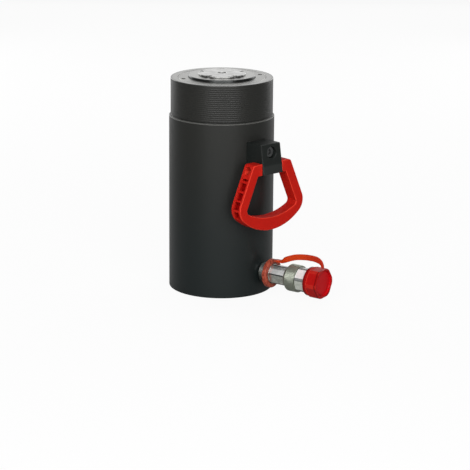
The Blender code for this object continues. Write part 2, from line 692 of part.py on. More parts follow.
def make_piston():
    """The piston ring on the plunger's spigot, its grooves, seals, wear ring and nut."""
    seal_foot = piston_foot + SEAL_GROOVE_UP
    seal_top = seal_foot + SEAL_GROOVE_HEIGHT
    seal_wall = piston_radius - SEAL_GROOVE_DEPTH
    band_top = piston_top - BAND_DOWN
    band_foot = band_top - BAND_HEIGHT
    band_wall = piston_radius - BAND_DEPTH
    ring_foot = piston_foot + INNER_RING_UP
    ring_top = ring_foot + INNER_RING_HEIGHT
    ring_wall = piston_inner_radius + INNER_RING_DEPTH
    nut_room = piston_nut_radius + SEAT_GAP
    nut_ceiling = piston_foot + PISTON_NUT_RECESS
    skirt_top = piston_foot + SKIRT_HEIGHT
    piston = turned("piston", [
        (piston_radius - PISTON_CHAMFER, piston_top),
        (piston_radius, piston_top - PISTON_CHAMFER),
        (piston_radius, band_top),
        (band_wall, band_top),
        (band_wall, band_foot),
        (piston_radius, band_foot),
        (piston_radius, seal_top),
        (seal_wall, seal_top),
        (seal_wall, seal_foot),
        (piston_radius, seal_foot),
        (piston_radius, skirt_top + SKIRT_TAPER),
        (skirt_radius, skirt_top),
        (skirt_radius, piston_foot),
        (nut_room, piston_foot),
        (nut_room, nut_ceiling),
        (piston_inner_radius, nut_ceiling),
        (piston_inner_radius, ring_foot),
        (ring_wall, ring_foot),
        (ring_wall, ring_top),
        (piston_inner_radius, ring_top),
        (piston_inner_radius, piston_top),
    ], "dark_steel", INNER_STEPS, plunger_axis)
    slot_size = (2 * (skirt_radius + CUT_MARGIN), OIL_SLOT_WIDTH, 2 * OIL_SLOT_DEPTH)
    slot_place = Matrix.Translation((0.0, 0.0, piston_foot))
    cut(piston, block_cutter("oil_slot_cutter", slot_size, slot_place, plunger_axis))
    turned("piston_nut", ring_profile(piston_nut_radius, piston_inner_radius,
                                      piston_foot + PISTON_NUT_SHORT, nut_ceiling - SEAT_GAP),
           "dark_steel", INNER_STEPS, plunger_axis)
    lip_foot = seal_foot + SEAT_GAP
    lip_top = lip_foot + SEAL_HEIGHT
    seal_inner = seal_wall + SEAT_GAP
    turned("piston_seal", [
        (rubber_radius, lip_top),
        (rubber_radius, lip_foot),
        (rubber_radius - SEAL_LIP, lip_foot),
        ((rubber_radius + seal_inner) / 2, lip_foot + SEAL_NOTCH),
        (seal_inner + SEAL_LIP, lip_foot),
        (seal_inner, lip_foot),
        (seal_inner, lip_top),
    ], "seal_urethane", INNER_STEPS, plunger_axis)
    turned("backup_ring", ring_profile(rubber_radius, seal_inner, lip_top + SEAT_GAP,
                                       seal_top - SEAT_GAP), "black_nylon", INNER_STEPS,
           plunger_axis)
    turned("wear_band", ring_profile(rubber_radius, band_wall + SEAT_GAP, band_foot + SEAT_GAP,
                                     band_top - SEAT_GAP), "guide_bronze", INNER_STEPS,
           plunger_axis)
    ring_major = (piston_inner_radius - SEAT_GAP + ring_wall) / 2
    turned("piston_o_ring", cord_ring_profile(ring_major, INNER_RING_WIRE, (ring_foot + ring_top) / 2),
           "seal_rubber", INNER_STEPS, plunger_axis)


def make_return_spring():
    """The extension spring inside the plunger, screwed on a plug at each end."""
    spring_foot = BASE_THICKNESS + SEAT_GAP + SPRING_WIRE_RADIUS
    spring_top = plunger_ceiling - SEAT_GAP - SPRING_WIRE_RADIUS
    turns = (spring_top - spring_foot) / SPRING_PITCH
    coil("return_spring", spring_mean_radius, SPRING_WIRE_RADIUS, spring_foot, spring_top, turns,
         SPRING_POINTS_PER_TURN, "spring_steel")
    hole_radius = ANCHOR_BOLT_RADIUS + SEAT_GAP
    lower_top = BASE_THICKNESS + SEAT_GAP + ANCHOR_PLUG_HEIGHT
    upper_foot = plunger_ceiling - SEAT_GAP - ANCHOR_PLUG_HEIGHT
    turned("lower_spring_plug", ring_profile(anchor_plug_radius, hole_radius,
                                             BASE_THICKNESS + SEAT_GAP, lower_top), "dark_steel",
           FITTING_STEPS)
    turned("upper_spring_plug", ring_profile(anchor_plug_radius, hole_radius, upper_foot,
                                             plunger_ceiling - SEAT_GAP), "dark_steel",
           FITTING_STEPS, plunger_axis)
    lower_seat = lower_top + SEAT_GAP
    turned("lower_anchor_bolt", [
        (0.0, lower_seat + ANCHOR_HEAD_HEIGHT),
        (ANCHOR_HEAD_RADIUS, lower_seat + ANCHOR_HEAD_HEIGHT),
        (ANCHOR_HEAD_RADIUS, lower_seat),
        (ANCHOR_BOLT_RADIUS, lower_seat),
        (ANCHOR_BOLT_RADIUS, BASE_THICKNESS - ANCHOR_BOLT_BITE),
        (0.0, BASE_THICKNESS - ANCHOR_BOLT_BITE),
    ], "dark_steel", SMALL_STEPS)
    upper_seat = upper_foot - SEAT_GAP
    turned("upper_anchor_bolt", [
        (0.0, plunger_ceiling + ANCHOR_BOLT_BITE),
        (ANCHOR_BOLT_RADIUS, plunger_ceiling + ANCHOR_BOLT_BITE),
        (ANCHOR_BOLT_RADIUS, upper_seat),
        (ANCHOR_HEAD_RADIUS, upper_seat),
        (ANCHOR_HEAD_RADIUS, upper_seat - ANCHOR_HEAD_HEIGHT),
        (0.0, upper_seat - ANCHOR_HEAD_HEIGHT),
    ], "dark_steel", SMALL_STEPS, plunger_axis)


def make_saddle():
    """The loose load pad: a thin hardened disc on a spigot, held in the crown by an O-ring."""
    disc_foot = plunger_top + SEAT_GAP
    disc_top = plunger_top + SADDLE_RISE
    spigot_foot = plunger_top - SADDLE_SPIGOT_LENGTH
    ring_top = plunger_top - SADDLE_RING_DOWN
    ring_foot = ring_top - SADDLE_RING_HEIGHT
    ring_wall = SADDLE_SPIGOT_RADIUS - SADDLE_RING_DEPTH
    saddle = turned("saddle", [
        (0.0, disc_top - SADDLE_HOLE_DEPTH),
        (SADDLE_HOLE_RADIUS, disc_top - SADDLE_HOLE_DEPTH),
        (SADDLE_HOLE_RADIUS, disc_top),
        (saddle_radius - SADDLE_CHAMFER, disc_top),
        (saddle_radius, disc_top - SADDLE_CHAMFER),
        (saddle_radius, disc_foot),
        (SADDLE_SPIGOT_RADIUS, disc_foot),
        (SADDLE_SPIGOT_RADIUS, ring_top),
        (ring_wall, ring_top),
        (ring_wall, ring_foot),
        (SADDLE_SPIGOT_RADIUS, ring_foot),
        (SADDLE_SPIGOT_RADIUS, spigot_foot + SADDLE_SPIGOT_CHAMFER),
        (SADDLE_SPIGOT_RADIUS - SADDLE_SPIGOT_CHAMFER, spigot_foot),
        (0.0, spigot_foot),
    ], "bare_steel", parent=saddle_axis)
    notch_size = (2 * SADDLE_NOTCH_LENGTH, SADDLE_NOTCH_WIDTH, 2 * SADDLE_NOTCH_DEPTH)
    for index in range(SADDLE_NOTCH_COUNT):
        angle = SADDLE_NOTCH_TURN + FULL_TURN * index / SADDLE_NOTCH_COUNT
        place = Matrix.Rotation(angle, 4, "Z") @ Matrix.Translation((saddle_radius, 0.0, disc_top))
        cut(saddle, block_cutter(f"saddle_notch_cutter_{index + 1}", notch_size, place, saddle_axis))
    ring_major = (ring_wall + SADDLE_SPIGOT_RADIUS + SEAT_GAP) / 2
    turned("saddle_o_ring", cord_ring_profile(ring_major, SADDLE_RING_WIRE, (ring_foot + ring_top) / 2),
           "seal_rubber", FITTING_STEPS, saddle_axis)


def make_handle_block():
    """The moulded block that a cap screw holds on the barrel, and the pin that carries the handle."""
    back = sqrt(barrel_radius ** 2 - BLOCK_HALF_WIDTH ** 2) - CUT_MARGIN
    outline = [(back, BLOCK_FOOT), (block_reach_foot, BLOCK_FOOT),
               (block_reach_top, block_top), (back, block_top)]
    block = plate("handle_block", outline, 2 * BLOCK_HALF_WIDTH, "black_nylon",
                  (QUARTER_TURN, 0.0, 0.0), handle_station)
    bevel_edges(block, BLOCK_BEVEL, 1)
    barrel_room = turned("barrel_room_cutter",
                         rod_profile(barrel_radius + SEAT_GAP, BLOCK_FOOT - CUT_MARGIN,
                                     block_top + CUT_MARGIN), steps=BARREL_STEPS,
                         parent=handle_station)
    head_room = BLOCK_SCREW_HEAD_RADIUS + HEAD_ROOM
    far = block_reach_foot + CUT_MARGIN
    screw_way = turned("block_screw_cutter", [
        (0.0, far),
        (head_room, far),
        (head_room, counterbore_floor),
        (BLOCK_SCREW_RADIUS + SEAT_GAP, counterbore_floor),
        (BLOCK_SCREW_RADIUS + SEAT_GAP, back - CUT_MARGIN),
        (0.0, back - CUT_MARGIN),
    ], steps=FITTING_STEPS, parent=block_screw_axis)
    pin_way = turned("block_pin_cutter",
                     rod_profile(PIN_RADIUS + SEAT_GAP, -BLOCK_HALF_WIDTH - CUT_MARGIN,
                                 BLOCK_HALF_WIDTH + CUT_MARGIN), steps=SMALL_STEPS, parent=pin_axis)
    cut(block, barrel_room, screw_way, pin_way)

    washer_foot = counterbore_floor + SEAT_GAP
    head_foot = washer_foot + BLOCK_WASHER_THICKNESS + SEAT_GAP
    head_top = head_foot + BLOCK_SCREW_HEAD_HEIGHT
    turned("block_washer", ring_profile(BLOCK_SCREW_HEAD_RADIUS, BLOCK_SCREW_RADIUS + SEAT_GAP,
                                        washer_foot, washer_foot + BLOCK_WASHER_THICKNESS),
           "dark_steel", SMALL_STEPS, block_screw_axis)
    screw = turned("block_screw", [
        (0.0, head_top),
        (BLOCK_SCREW_HEAD_RADIUS - BLOCK_SCREW_HEAD_CHAMFER, head_top),
        (BLOCK_SCREW_HEAD_RADIUS, head_top - BLOCK_SCREW_HEAD_CHAMFER),
        (BLOCK_SCREW_HEAD_RADIUS, head_foot),
        (BLOCK_SCREW_RADIUS, head_foot),
        (BLOCK_SCREW_RADIUS, barrel_radius - BLOCK_SCREW_BITE),
        (0.0, barrel_radius - BLOCK_SCREW_BITE),
    ], "dark_steel", SMALL_STEPS, block_screw_axis)
    cut(screw, hex_prism("block_screw_socket_cutter", BLOCK_SCREW_SOCKET,
                         head_top - BLOCK_SCREW_SOCKET_DEPTH, head_top + CUT_MARGIN,
                         parent=block_screw_axis))

    turned("handle_pin", rod_profile(PIN_RADIUS, -PIN_HALF_LENGTH, PIN_HALF_LENGTH, PIN_CHAMFER),
           "dark_steel", SMALL_STEPS, pin_axis)
    clip_foot = PIN_RECESS_FLOOR + SEAT_GAP
    for name, side in (("pin_clip_left", -1), ("pin_clip_right", 1)):
        ends = sorted((side * clip_foot, side * (clip_foot + CLIP_THICKNESS)))
        turned(name, ring_profile(CLIP_RADIUS, PIN_RADIUS + SEAT_GAP, *ends), "spring_steel",
               SMALL_STEPS, pin_axis)


def arm_edge(offset, fillet, bar_arc, drop):
    """Where an arm's edge, its lower corner and the bar's arc meet, on the +across side.

    offset is how far the edge lies inside the handle's outer edge, and drop how far below the pin
    the bar's arc is in the middle. The answer is the edge's top point, the corner's centre, the
    corner's first and last angles, and the bar arc's centre.
    """
    along = Vector((sin(HANDLE_FLARE), -cos(HANDLE_FLARE)))
    outward = Vector((cos(HANDLE_FLARE), sin(HANDLE_FLARE)))
    top = Vector((HANDLE_HALF_TOP, HANDLE_EAR_TOP)) - outward * offset
    arc_centre = Vector((0.0, bar_arc - drop))
    start = top - outward * fillet - arc_centre
    reach = bar_arc - fillet
    half_b = start.dot(along)
    run = -half_b + sqrt(half_b ** 2 - start.length_squared + reach ** 2)
    centre = arc_centre + start + along * run
    first = atan2(outward.y, outward.x)
    last = atan2(centre.y - arc_centre.y, centre.x - arc_centre.x)
    return top, centre, first, last, arc_centre


def arm_chain(offset, fillet, bar_arc, drop):
    """Points down an arm's edge, round its lower corner and along the bar to the middle."""
    top, centre, first, last, arc_centre = arm_edge(offset, fillet, bar_arc, drop)
    chain = []
    for index in range(ARC_PIECES + 1):
        angle = first + (last - first) * index / ARC_PIECES
        chain.append((centre.x + fillet * cos(angle), centre.y + fillet * sin(angle)))
    for index in range(1, ARC_PIECES + 1):
        angle = last + (-QUARTER_TURN - last) * index / ARC_PIECES
        chain.append((arc_centre.x + bar_arc * cos(angle), arc_centre.y + bar_arc * sin(angle)))
    return top, chain


def handle_outline():
    """The handle seen from the front, as a U with two ears turned in towards the block."""
    ear_end = BLOCK_HALF_WIDTH + SEAT_GAP
    top, outer = arm_chain(0.0, HANDLE_CORNER, HANDLE_BAR_ARC, HANDLE_DROP)
    inner_top, inner = arm_chain(HANDLE_ARM_WIDTH, HANDLE_INNER_CORNER, HANDLE_BAR_INNER_ARC,
                                 HANDLE_DROP - HANDLE_BAR_WIDTH)
    ear_drop = inner_top.y - HANDLE_EAR_FOOT
    ear_root = (inner_top.x + ear_drop * tan(HANDLE_FLARE), HANDLE_EAR_FOOT)
    rounding = []
    for index in range(ARC_PIECES // 2 + 1):
        share = index / (ARC_PIECES // 2)
        angle = QUARTER_TURN + (HANDLE_FLARE - QUARTER_TURN) * share
        inset = HANDLE_TOP_CORNER * tan((QUARTER_TURN - HANDLE_FLARE) / 2)
        rounding.append((top.x - inset + HANDLE_TOP_CORNER * cos(angle),
                         top.y - HANDLE_TOP_CORNER + HANDLE_TOP_CORNER * sin(angle)))
    outside = [(ear_end, HANDLE_EAR_TOP)] + rounding + outer
    inside = list(reversed(inner)) + [ear_root, (ear_end, HANDLE_EAR_FOOT)]
    mirrored_outside = [(-across, up) for across, up in reversed(outside[:-1])]
    mirrored_inside = [(-across, up) for across, up in reversed(inside[1:])]
    return outside + mirrored_outside + mirrored_inside + inside


def arm_pocket_place(distance, side):
    """A frame on an arm's outer edge, a distance down it: Y points outwards, Z up the edge."""
    top, centre, first, last, arc_centre = arm_edge(0.0, HANDLE_CORNER, HANDLE_BAR_ARC, HANDLE_DROP)
    tangent = centre + HANDLE_CORNER * Vector((cos(first), sin(first)))
    straight = (tangent - top).length
    if distance <= straight:
        spot = top + (tangent - top) * (distance / straight)
        angle = first
    else:
        angle = first - (distance - straight) / HANDLE_CORNER
        spot = centre + HANDLE_CORNER * Vector((cos(angle), sin(angle)))
    return (Matrix.Translation((0.0, side * spot.x, spot.y))
            @ Matrix.Rotation(side * angle, 4, "X"))


def make_handle():
    """The nylon carrying handle, with ribbed channels in the outer sides of its arms."""
    handle = plate("carry_handle", handle_outline(), HANDLE_THICKNESS, "red_nylon",
                   (QUARTER_TURN, 0.0, QUARTER_TURN), handle_hinge)
    bevel_edges(handle, HANDLE_BEVEL, 1)
    pocket_reach = 2 * POCKET_DEPTH
    widest = HANDLE_HALF_TOP + HANDLE_DROP
    for side, word in ((-1, "left"), (1, "right")):
        for index, (distance, length) in enumerate(POCKETS):
            name = f"{word}_pocket_cutter_{index + 1}"
            place = arm_pocket_place(distance, side)
            cut(handle, block_cutter(name, (POCKET_WIDTH, pocket_reach, length), place, handle_hinge))
        ends = sorted((side * PIN_RECESS_FLOOR, side * widest))
        cut(handle, turned(word + "_recess_cutter", rod_profile(PIN_RECESS_RADIUS, *ends),
                           steps=SMALL_STEPS, parent=pin_axis))
    cut(handle, turned("handle_pin_cutter", rod_profile(PIN_RADIUS + SEAT_GAP, -widest, widest),
                       steps=SMALL_STEPS, parent=pin_axis))


def make_coupler_body():
    """The plated steel fitting screwed into the port: shank, round seat, hexagon and stem."""
    body = turned("coupler_body", [
        (0.0, stem_front),
        (STEM_RADIUS, stem_front),
        (STEM_RADIUS, hex_front - CUT_MARGIN),
        (HEX_FLATS / 2 - CUT_MARGIN, hex_front - CUT_MARGIN),
        (HEX_FLATS / 2 - CUT_MARGIN, hex_back + CUT_MARGIN),
        (SEAT_RADIUS, hex_back + CUT_MARGIN),
        (SEAT_RADIUS, seat_back),
        (SHANK_RADIUS, seat_back),
        (SHANK_RADIUS, shank_end),
        (0.0, shank_end),
    ], "zinc_plate", FITTING_STEPS, coupler_axis)
    join(body, chamfered_hex("coupler_hex", HEX_FLATS, HEX_CORNER_RADIUS, hex_back, hex_front,
                             HEX_CHAMFER, HEX_TURN, coupler_axis))
    thread_floor = nose_tail - SEAT_GAP
    thread_radius = NOSE_THREAD_RADIUS + SEAT_GAP
    inside = turned("coupler_bore_cutter", [
        (0.0, stem_front + CUT_MARGIN),
        (thread_radius, stem_front + CUT_MARGIN),
        (thread_radius, thread_floor),
        (CHAMBER_RADIUS, thread_floor),
        (CHAMBER_RADIUS, chamber_back),
        (OILWAY_RADIUS, chamber_back),
        (OILWAY_RADIUS, shank_end - CUT_MARGIN),
        (0.0, shank_end - CUT_MARGIN),
    ], steps=FITTING_STEPS, parent=coupler_axis)
    cut(body, inside)


def make_coupler_collar():
    """The sleeve that is turned by hand, free on the stem between the hexagon and the nose."""
    back = hex_front + SEAT_GAP
    front = nose_back - SEAT_GAP
    turned("coupler_collar", [
        (COLLAR_SLEEVE_RADIUS - COLLAR_SLEEVE_CHAMFER, front),
        (COLLAR_SLEEVE_RADIUS, front - COLLAR_SLEEVE_CHAMFER),
        (COLLAR_SLEEVE_RADIUS, back + COLLAR_SLEEVE_CONE),
        (COLLAR_SLEEVE_BACK, back),
        (STEM_RADIUS + SEAT_GAP, back),
        (STEM_RADIUS + SEAT_GAP, front),
    ], "zinc_plate", FITTING_STEPS, coupler_axis)


def make_coupler_nose():
    """The nose that the hose's half couples to: spanner flats, a socket and its O-ring."""
    nose = turned("coupler_nose", [
        (0.0, nose_front),
        (NOSE_RADIUS - NOSE_CHAMFER, nose_front),
        (NOSE_RADIUS, nose_front - NOSE_CHAMFER),
        (NOSE_RADIUS, nose_shoulder - CUT_MARGIN),
        (NOSE_NECK_RADIUS, nose_shoulder - CUT_MARGIN),
        (NOSE_NECK_RADIUS, nose_back + CUT_MARGIN),
        (NOSE_THREAD_RADIUS, nose_back + CUT_MARGIN),
        (NOSE_THREAD_RADIUS, nose_tail),
        (0.0, nose_tail),
    ], "zinc_plate", FITTING_STEPS, coupler_axis)
    join(nose, chamfered_hex("nose_hex", NOSE_FLATS, NOSE_CORNER_RADIUS, nose_back, nose_shoulder,
                             HEX_CHAMFER, HEX_TURN, coupler_axis))
    ring_top = nose_front - NOSE_RING_DOWN
    ring_foot = ring_top - NOSE_RING_HEIGHT
    ring_wall = NOSE_SOCKET_RADIUS + NOSE_RING_DEPTH
    socket_end = nose_front - NOSE_SOCKET_DEPTH
    inside = turned("nose_bore_cutter", [
        (0.0, nose_front + CUT_MARGIN),
        (NOSE_SOCKET_RADIUS, nose_front + CUT_MARGIN),
        (NOSE_SOCKET_RADIUS, ring_top),
        (ring_wall, ring_top),
        (ring_wall, ring_foot),
        (NOSE_SOCKET_RADIUS, ring_foot),
        (NOSE_SOCKET_RADIUS, socket_end),
        (NOSE_OILWAY_RADIUS, socket_end),
        (NOSE_OILWAY_RADIUS, nose_tail - CUT_MARGIN),
        (0.0, nose_tail - CUT_MARGIN),
    ], steps=FITTING_STEPS, parent=coupler_axis)
    cut(nose, inside)
    ring_major = ring_wall - SEAT_GAP - NOSE_RING_WIRE
    turned("nose_o_ring", cord_ring_profile(ring_major, NOSE_RING_WIRE, (ring_foot + ring_top) / 2),
           "seal_rubber", FITTING_STEPS, coupler_axis)


def make_check_valve():
    """The ball that shuts the coupler, its spring and the drilled disc that the spring stands on."""
    seat_foot = chamber_back + SEAT_GAP
    seat_top = seat_foot + SPRING_SEAT_THICKNESS
    turned("ball_spring_seat", ring_profile(CHAMBER_RADIUS - SEAT_GAP, SPRING_SEAT_HOLE, seat_foot,
                                            seat_top), "brass", SMALL_STEPS, coupler_axis)
    coil_foot = seat_top + SEAT_GAP + BALL_SPRING_WIRE
    coil_top = ball_station - BALL_SPRING_SHORT
    coil("ball_spring", BALL_SPRING_MEAN, BALL_SPRING_WIRE, coil_foot, coil_top, BALL_SPRING_TURNS,
         BALL_SPRING_POINTS, "spring_steel", coupler_axis)
    mesh = bpy.data.meshes.new("valve_ball")
    shape = bmesh.new()
    bmesh.ops.create_uvsphere(shape, u_segments=SMALL_STEPS, v_segments=SMALL_STEPS // 2,
                              radius=BALL_RADIUS)
    shape.to_mesh(mesh)
    shape.free()
    mesh.shade_smooth()
    ball = new_piece("valve_ball", mesh, "bare_steel", coupler_axis)
    ball.location = (0.0, 0.0, ball_station)


def make_dust_cap():
    """The push-on cap: round skirt, six-sided grip and a recessed end."""
    room_radius = NOSE_RADIUS + SEAT_GAP
    recess_floor = cap_front - CAP_RECESS_DEPTH
    grip_back = cap_back + CAP_RIM_LENGTH
    cap = turned("dust_cap", [
        (0.0, recess_floor),
        (CAP_RECESS_RADIUS, recess_floor),
        (CAP_RECESS_RADIUS + CAP_RECESS_DRAFT, cap_front),
        (CAP_RADIUS - CAP_CHAMFER, cap_front),
        (CAP_RADIUS, cap_front - CAP_CHAMFER),
        (CAP_RADIUS, grip_back + CAP_RADIUS - CAP_RIM_RADIUS),
        (CAP_RIM_RADIUS, grip_back),
        (CAP_RIM_RADIUS, cap_back),
        (room_radius, cap_back),
        (room_radius, cap_room_end),
        (0.0, cap_room_end),
    ], "red_cap_plastic", FITTING_STEPS, coupler_axis)
    grip = hex_prism("cap_grip_limit", CAP_FLATS, cap_back - CUT_MARGIN, cap_front + CUT_MARGIN,
                     CAP_TURN, coupler_axis)
    combine(cap, grip, "INTERSECT")


def strap_rows():
    """The strap's rows of points from the ring's rim to the cap: flat at its root, then on edge."""
    start = Vector((ring_front - STRAP_SINK, 0.0, TETHER_RING_RADIUS - STRAP_SINK))
    finish = Vector((cap_front - STRAP_END_BACK, 0.0, CAP_RADIUS + SEAT_GAP))
    marks = []
    for share, height, width, twist in STRAP_ROUTE:
        marks.append((start.lerp(finish, share) + Vector((0.0, 0.0, height)), width, twist))
    rows = []
    for index, (spot, width, twist) in enumerate(marks):
        before = marks[max(index - 1, 0)][0]
        after = marks[min(index + 1, len(marks) - 1)][0]
        along = (after - before).normalized()
        flat = Vector((0.0, 1.0, 0.0))
        on_edge = flat.cross(along)
        across = flat * cos(twist * QUARTER_TURN) - on_edge * sin(twist * QUARTER_TURN)
        rows.append([spot + across * side * width / 2 for side in (-1, 1)])
    return rows


def make_tether():
    """The moulded tether: a ring round the fitting's seat and a twisted flat strap to the cap."""
    tether = turned("cap_tether", ring_profile(TETHER_RING_RADIUS, SEAT_RADIUS + SEAT_GAP, ring_back,
                                               ring_front, TETHER_RING_CHAMFER), "orange_tether",
                    FITTING_STEPS, coupler_axis)
    mesh = bpy.data.meshes.new("tether_strap")
    ribbon = bmesh.new()
    rows = [[ribbon.verts.new((-spot.z, spot.y, spot.x)) for spot in row] for row in strap_rows()]
    for first, second in zip(rows, rows[1:]):
        ribbon.faces.new((first[0], first[1], second[1], second[0]))
    ribbon.to_mesh(mesh)
    ribbon.free()
    strap = new_piece("tether_strap", mesh, None, coupler_axis)
    solidify = strap.modifiers.new("thickness", "SOLIDIFY")
    solidify.thickness = STRAP_THICKNESS
    solidify.offset = 0.0
    join(tether, strap)


make_barrel()
make_gland()
make_plunger()
make_piston()
make_return_spring()
make_saddle()
make_handle_block()
make_handle()
make_coupler_body()
make_coupler_collar()
make_coupler_nose()
make_check_valve()
make_dust_cap()
make_tether()
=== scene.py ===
from math import acos, atan2, cos, inf, pi, radians, sin, sqrt, tan

import bmesh
import bpy
from mathutils import Matrix, Vector


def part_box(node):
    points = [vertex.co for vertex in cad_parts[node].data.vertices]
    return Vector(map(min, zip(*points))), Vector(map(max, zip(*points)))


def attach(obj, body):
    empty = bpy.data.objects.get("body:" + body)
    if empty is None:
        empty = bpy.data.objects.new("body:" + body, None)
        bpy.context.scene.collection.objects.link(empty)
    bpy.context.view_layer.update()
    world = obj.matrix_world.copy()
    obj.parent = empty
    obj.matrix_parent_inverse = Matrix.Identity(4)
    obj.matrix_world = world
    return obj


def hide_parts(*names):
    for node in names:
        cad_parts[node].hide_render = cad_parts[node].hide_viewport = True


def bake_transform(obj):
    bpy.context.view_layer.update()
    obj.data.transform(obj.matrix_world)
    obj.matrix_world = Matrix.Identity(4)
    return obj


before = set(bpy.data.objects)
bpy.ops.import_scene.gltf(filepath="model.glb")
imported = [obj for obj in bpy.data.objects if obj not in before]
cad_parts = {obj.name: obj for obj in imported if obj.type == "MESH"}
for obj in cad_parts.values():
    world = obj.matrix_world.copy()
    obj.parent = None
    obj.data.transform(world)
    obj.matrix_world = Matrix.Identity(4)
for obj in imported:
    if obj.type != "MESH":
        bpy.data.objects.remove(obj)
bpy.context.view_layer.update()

# The studio: a sheet of seamless white paper, with two softboxes in front, a weak one high on the
# left, a panel overhead and three panels behind. The camera stands where the photograph's stood,
# 2.3 m from the cylinder's axis, looking down on it by 15 degrees.
MM = 0.001
scene = bpy.context.scene
scene.view_settings.view_transform = "Standard"


class Socket:
    """A socket of a node tree: sums with it add Math nodes, and node() adds any other node."""

    def __init__(self, tree, output=None):
        self.tree, self.output = tree, output

    def node(self, kind, output=0, inputs=None, **settings):
        node = self.tree.nodes.new(kind)
        for name, value in settings.items():
            setattr(node, name, value)
        for name, value in (inputs or {}).items():
            if isinstance(value, Socket):
                self.tree.links.new(value.output, node.inputs[name])
            else:
                node.inputs[name].default_value = value
        return Socket(self.tree, node.outputs[output])

    def maths(self, operation, *values):
        return self.node("ShaderNodeMath", 0, dict(enumerate(values)), operation=operation)

    def __add__(self, other):
        return self.maths("ADD", self, other)

    def __radd__(self, other):
        return self.maths("ADD", other, self)

    def __sub__(self, other):
        return self.maths("SUBTRACT", self, other)

    def __rsub__(self, other):
        return self.maths("SUBTRACT", other, self)

    def __mul__(self, other):
        return self.maths("MULTIPLY", self, other)

    def __rmul__(self, other):
        return self.maths("MULTIPLY", other, self)

    def __truediv__(self, other):
        return self.maths("DIVIDE", self, other)

    def __rtruediv__(self, other):
        return self.maths("DIVIDE", other, self)

    def __pow__(self, other):
        return self.maths("POWER", self, other)

    def __mod__(self, other):
        return self.maths("FLOORED_MODULO", self, other)

    def sine(self):
        return self.maths("SINE", self)

    def cosine(self):
        return self.maths("COSINE", self)

    def floor(self):
        return self.maths("FLOOR", self)

    def rise(self, low, high):
        """0 below low, 1 above high, and smooth between them."""
        return self.node("ShaderNodeMapRange", 0, {"Value": self, "From Min": low, "From Max": high},
                         interpolation_type="SMOOTHSTEP")


class Finish(Socket):
    """A material with one Principled shader, fed from the object's own coordinates."""

    def __init__(self, name, colour, roughness, metallic=0.0, **more):
        self.material = bpy.data.materials.new(name)
        self.material.use_nodes = True
        self.material.diffuse_color = (*colour, 1.0)
        super().__init__(self.material.node_tree)
        self.shader = self.tree.nodes["Principled BSDF"]
        self.constant(Base_Color=(*colour, 1.0), Roughness=roughness, Metallic=metallic, **more)
        self.spot = self.node("ShaderNodeTexCoord", "Object")

    def constant(self, **values):
        for name, value in values.items():
            self.shader.inputs[name.replace("_", " ")].default_value = value

    def feed(self, **values):
        for name, value in values.items():
            self.tree.links.new(value.output, self.shader.inputs[name.replace("_", " ")])

    def part(self, axis):
        return self.node("ShaderNodeSeparateXYZ", axis, {"Vector": self.spot})

    def noise(self, scale, detail=2.0, spot=None):
        return self.node("ShaderNodeTexNoise", "Fac",
                         {"Vector": spot or self.spot, "Scale": scale, "Detail": detail})

    def blend(self, factor, first, second):
        """From one colour to another; a colour is three numbers or a socket."""
        colours = [value if isinstance(value, Socket) else (*value, 1.0) for value in (first, second)]
        return self.node("ShaderNodeMix", 2, {0: factor, 6: colours[0], 7: colours[1]},
                         data_type="RGBA")

    def bump(self, height, depth, strength=1.0):
        self.feed(Normal=self.node("ShaderNodeBump", 0, {"Height": height, "Distance": depth,
                                                         "Strength": strength}))


def paper_floor():
    """White paper that fills the view and keeps the cylinder's soft shadow."""
    half = 20.0
    mesh = bpy.data.meshes.new("paper_floor")
    mesh.from_pydata([(-half, -half, 0.0), (half, -half, 0.0), (half, half, 0.0), (-half, half, 0.0)],
                     [], [(0, 1, 2, 3)])
    floor = bpy.data.objects.new("paper_floor", mesh)
    scene.collection.objects.link(floor)
    paper = Finish("white_paper", (0.34, 0.34, 0.34), 0.9, Specular_IOR_Level=0.1)
    paper.bump(paper.noise(2500.0), 0.00002)
    glow = paper.node("ShaderNodeEmission", 0, {"Color": (1.0, 1.0, 1.0, 1.0), "Strength": 1.088})
    seen = paper.node("ShaderNodeLightPath", "Is Camera Ray")
    mirrored = paper.node("ShaderNodeLightPath", "Is Glossy Ray")
    lit = Socket(paper.tree, paper.shader.outputs[0])
    surface = paper.node("ShaderNodeMixShader", 0, {0: seen * 0.85 + mirrored * 0.1, 1: lit, 2: glow})
    paper.tree.links.new(surface.output, paper.tree.nodes["Material Output"].inputs["Surface"])
    mesh.materials.append(paper.material)
    return floor


def softbox(name, azimuth, height, distance, size, power):
    """A square lamp that faces the middle of the cylinder; azimuth runs from the camera's side."""
    lamp = bpy.data.lights.new(name, "AREA")
    lamp.size = size
    lamp.energy = power
    box = bpy.data.objects.new(name, lamp)
    scene.collection.objects.link(box)
    turn = radians(-54.0 + azimuth)
    box.location = (distance * cos(turn), distance * sin(turn), height)
    aim = Vector((0.0, 0.0, 0.13)) - box.location
    box.rotation_euler = aim.to_track_quat("-Z", "Y").to_euler()
    return box


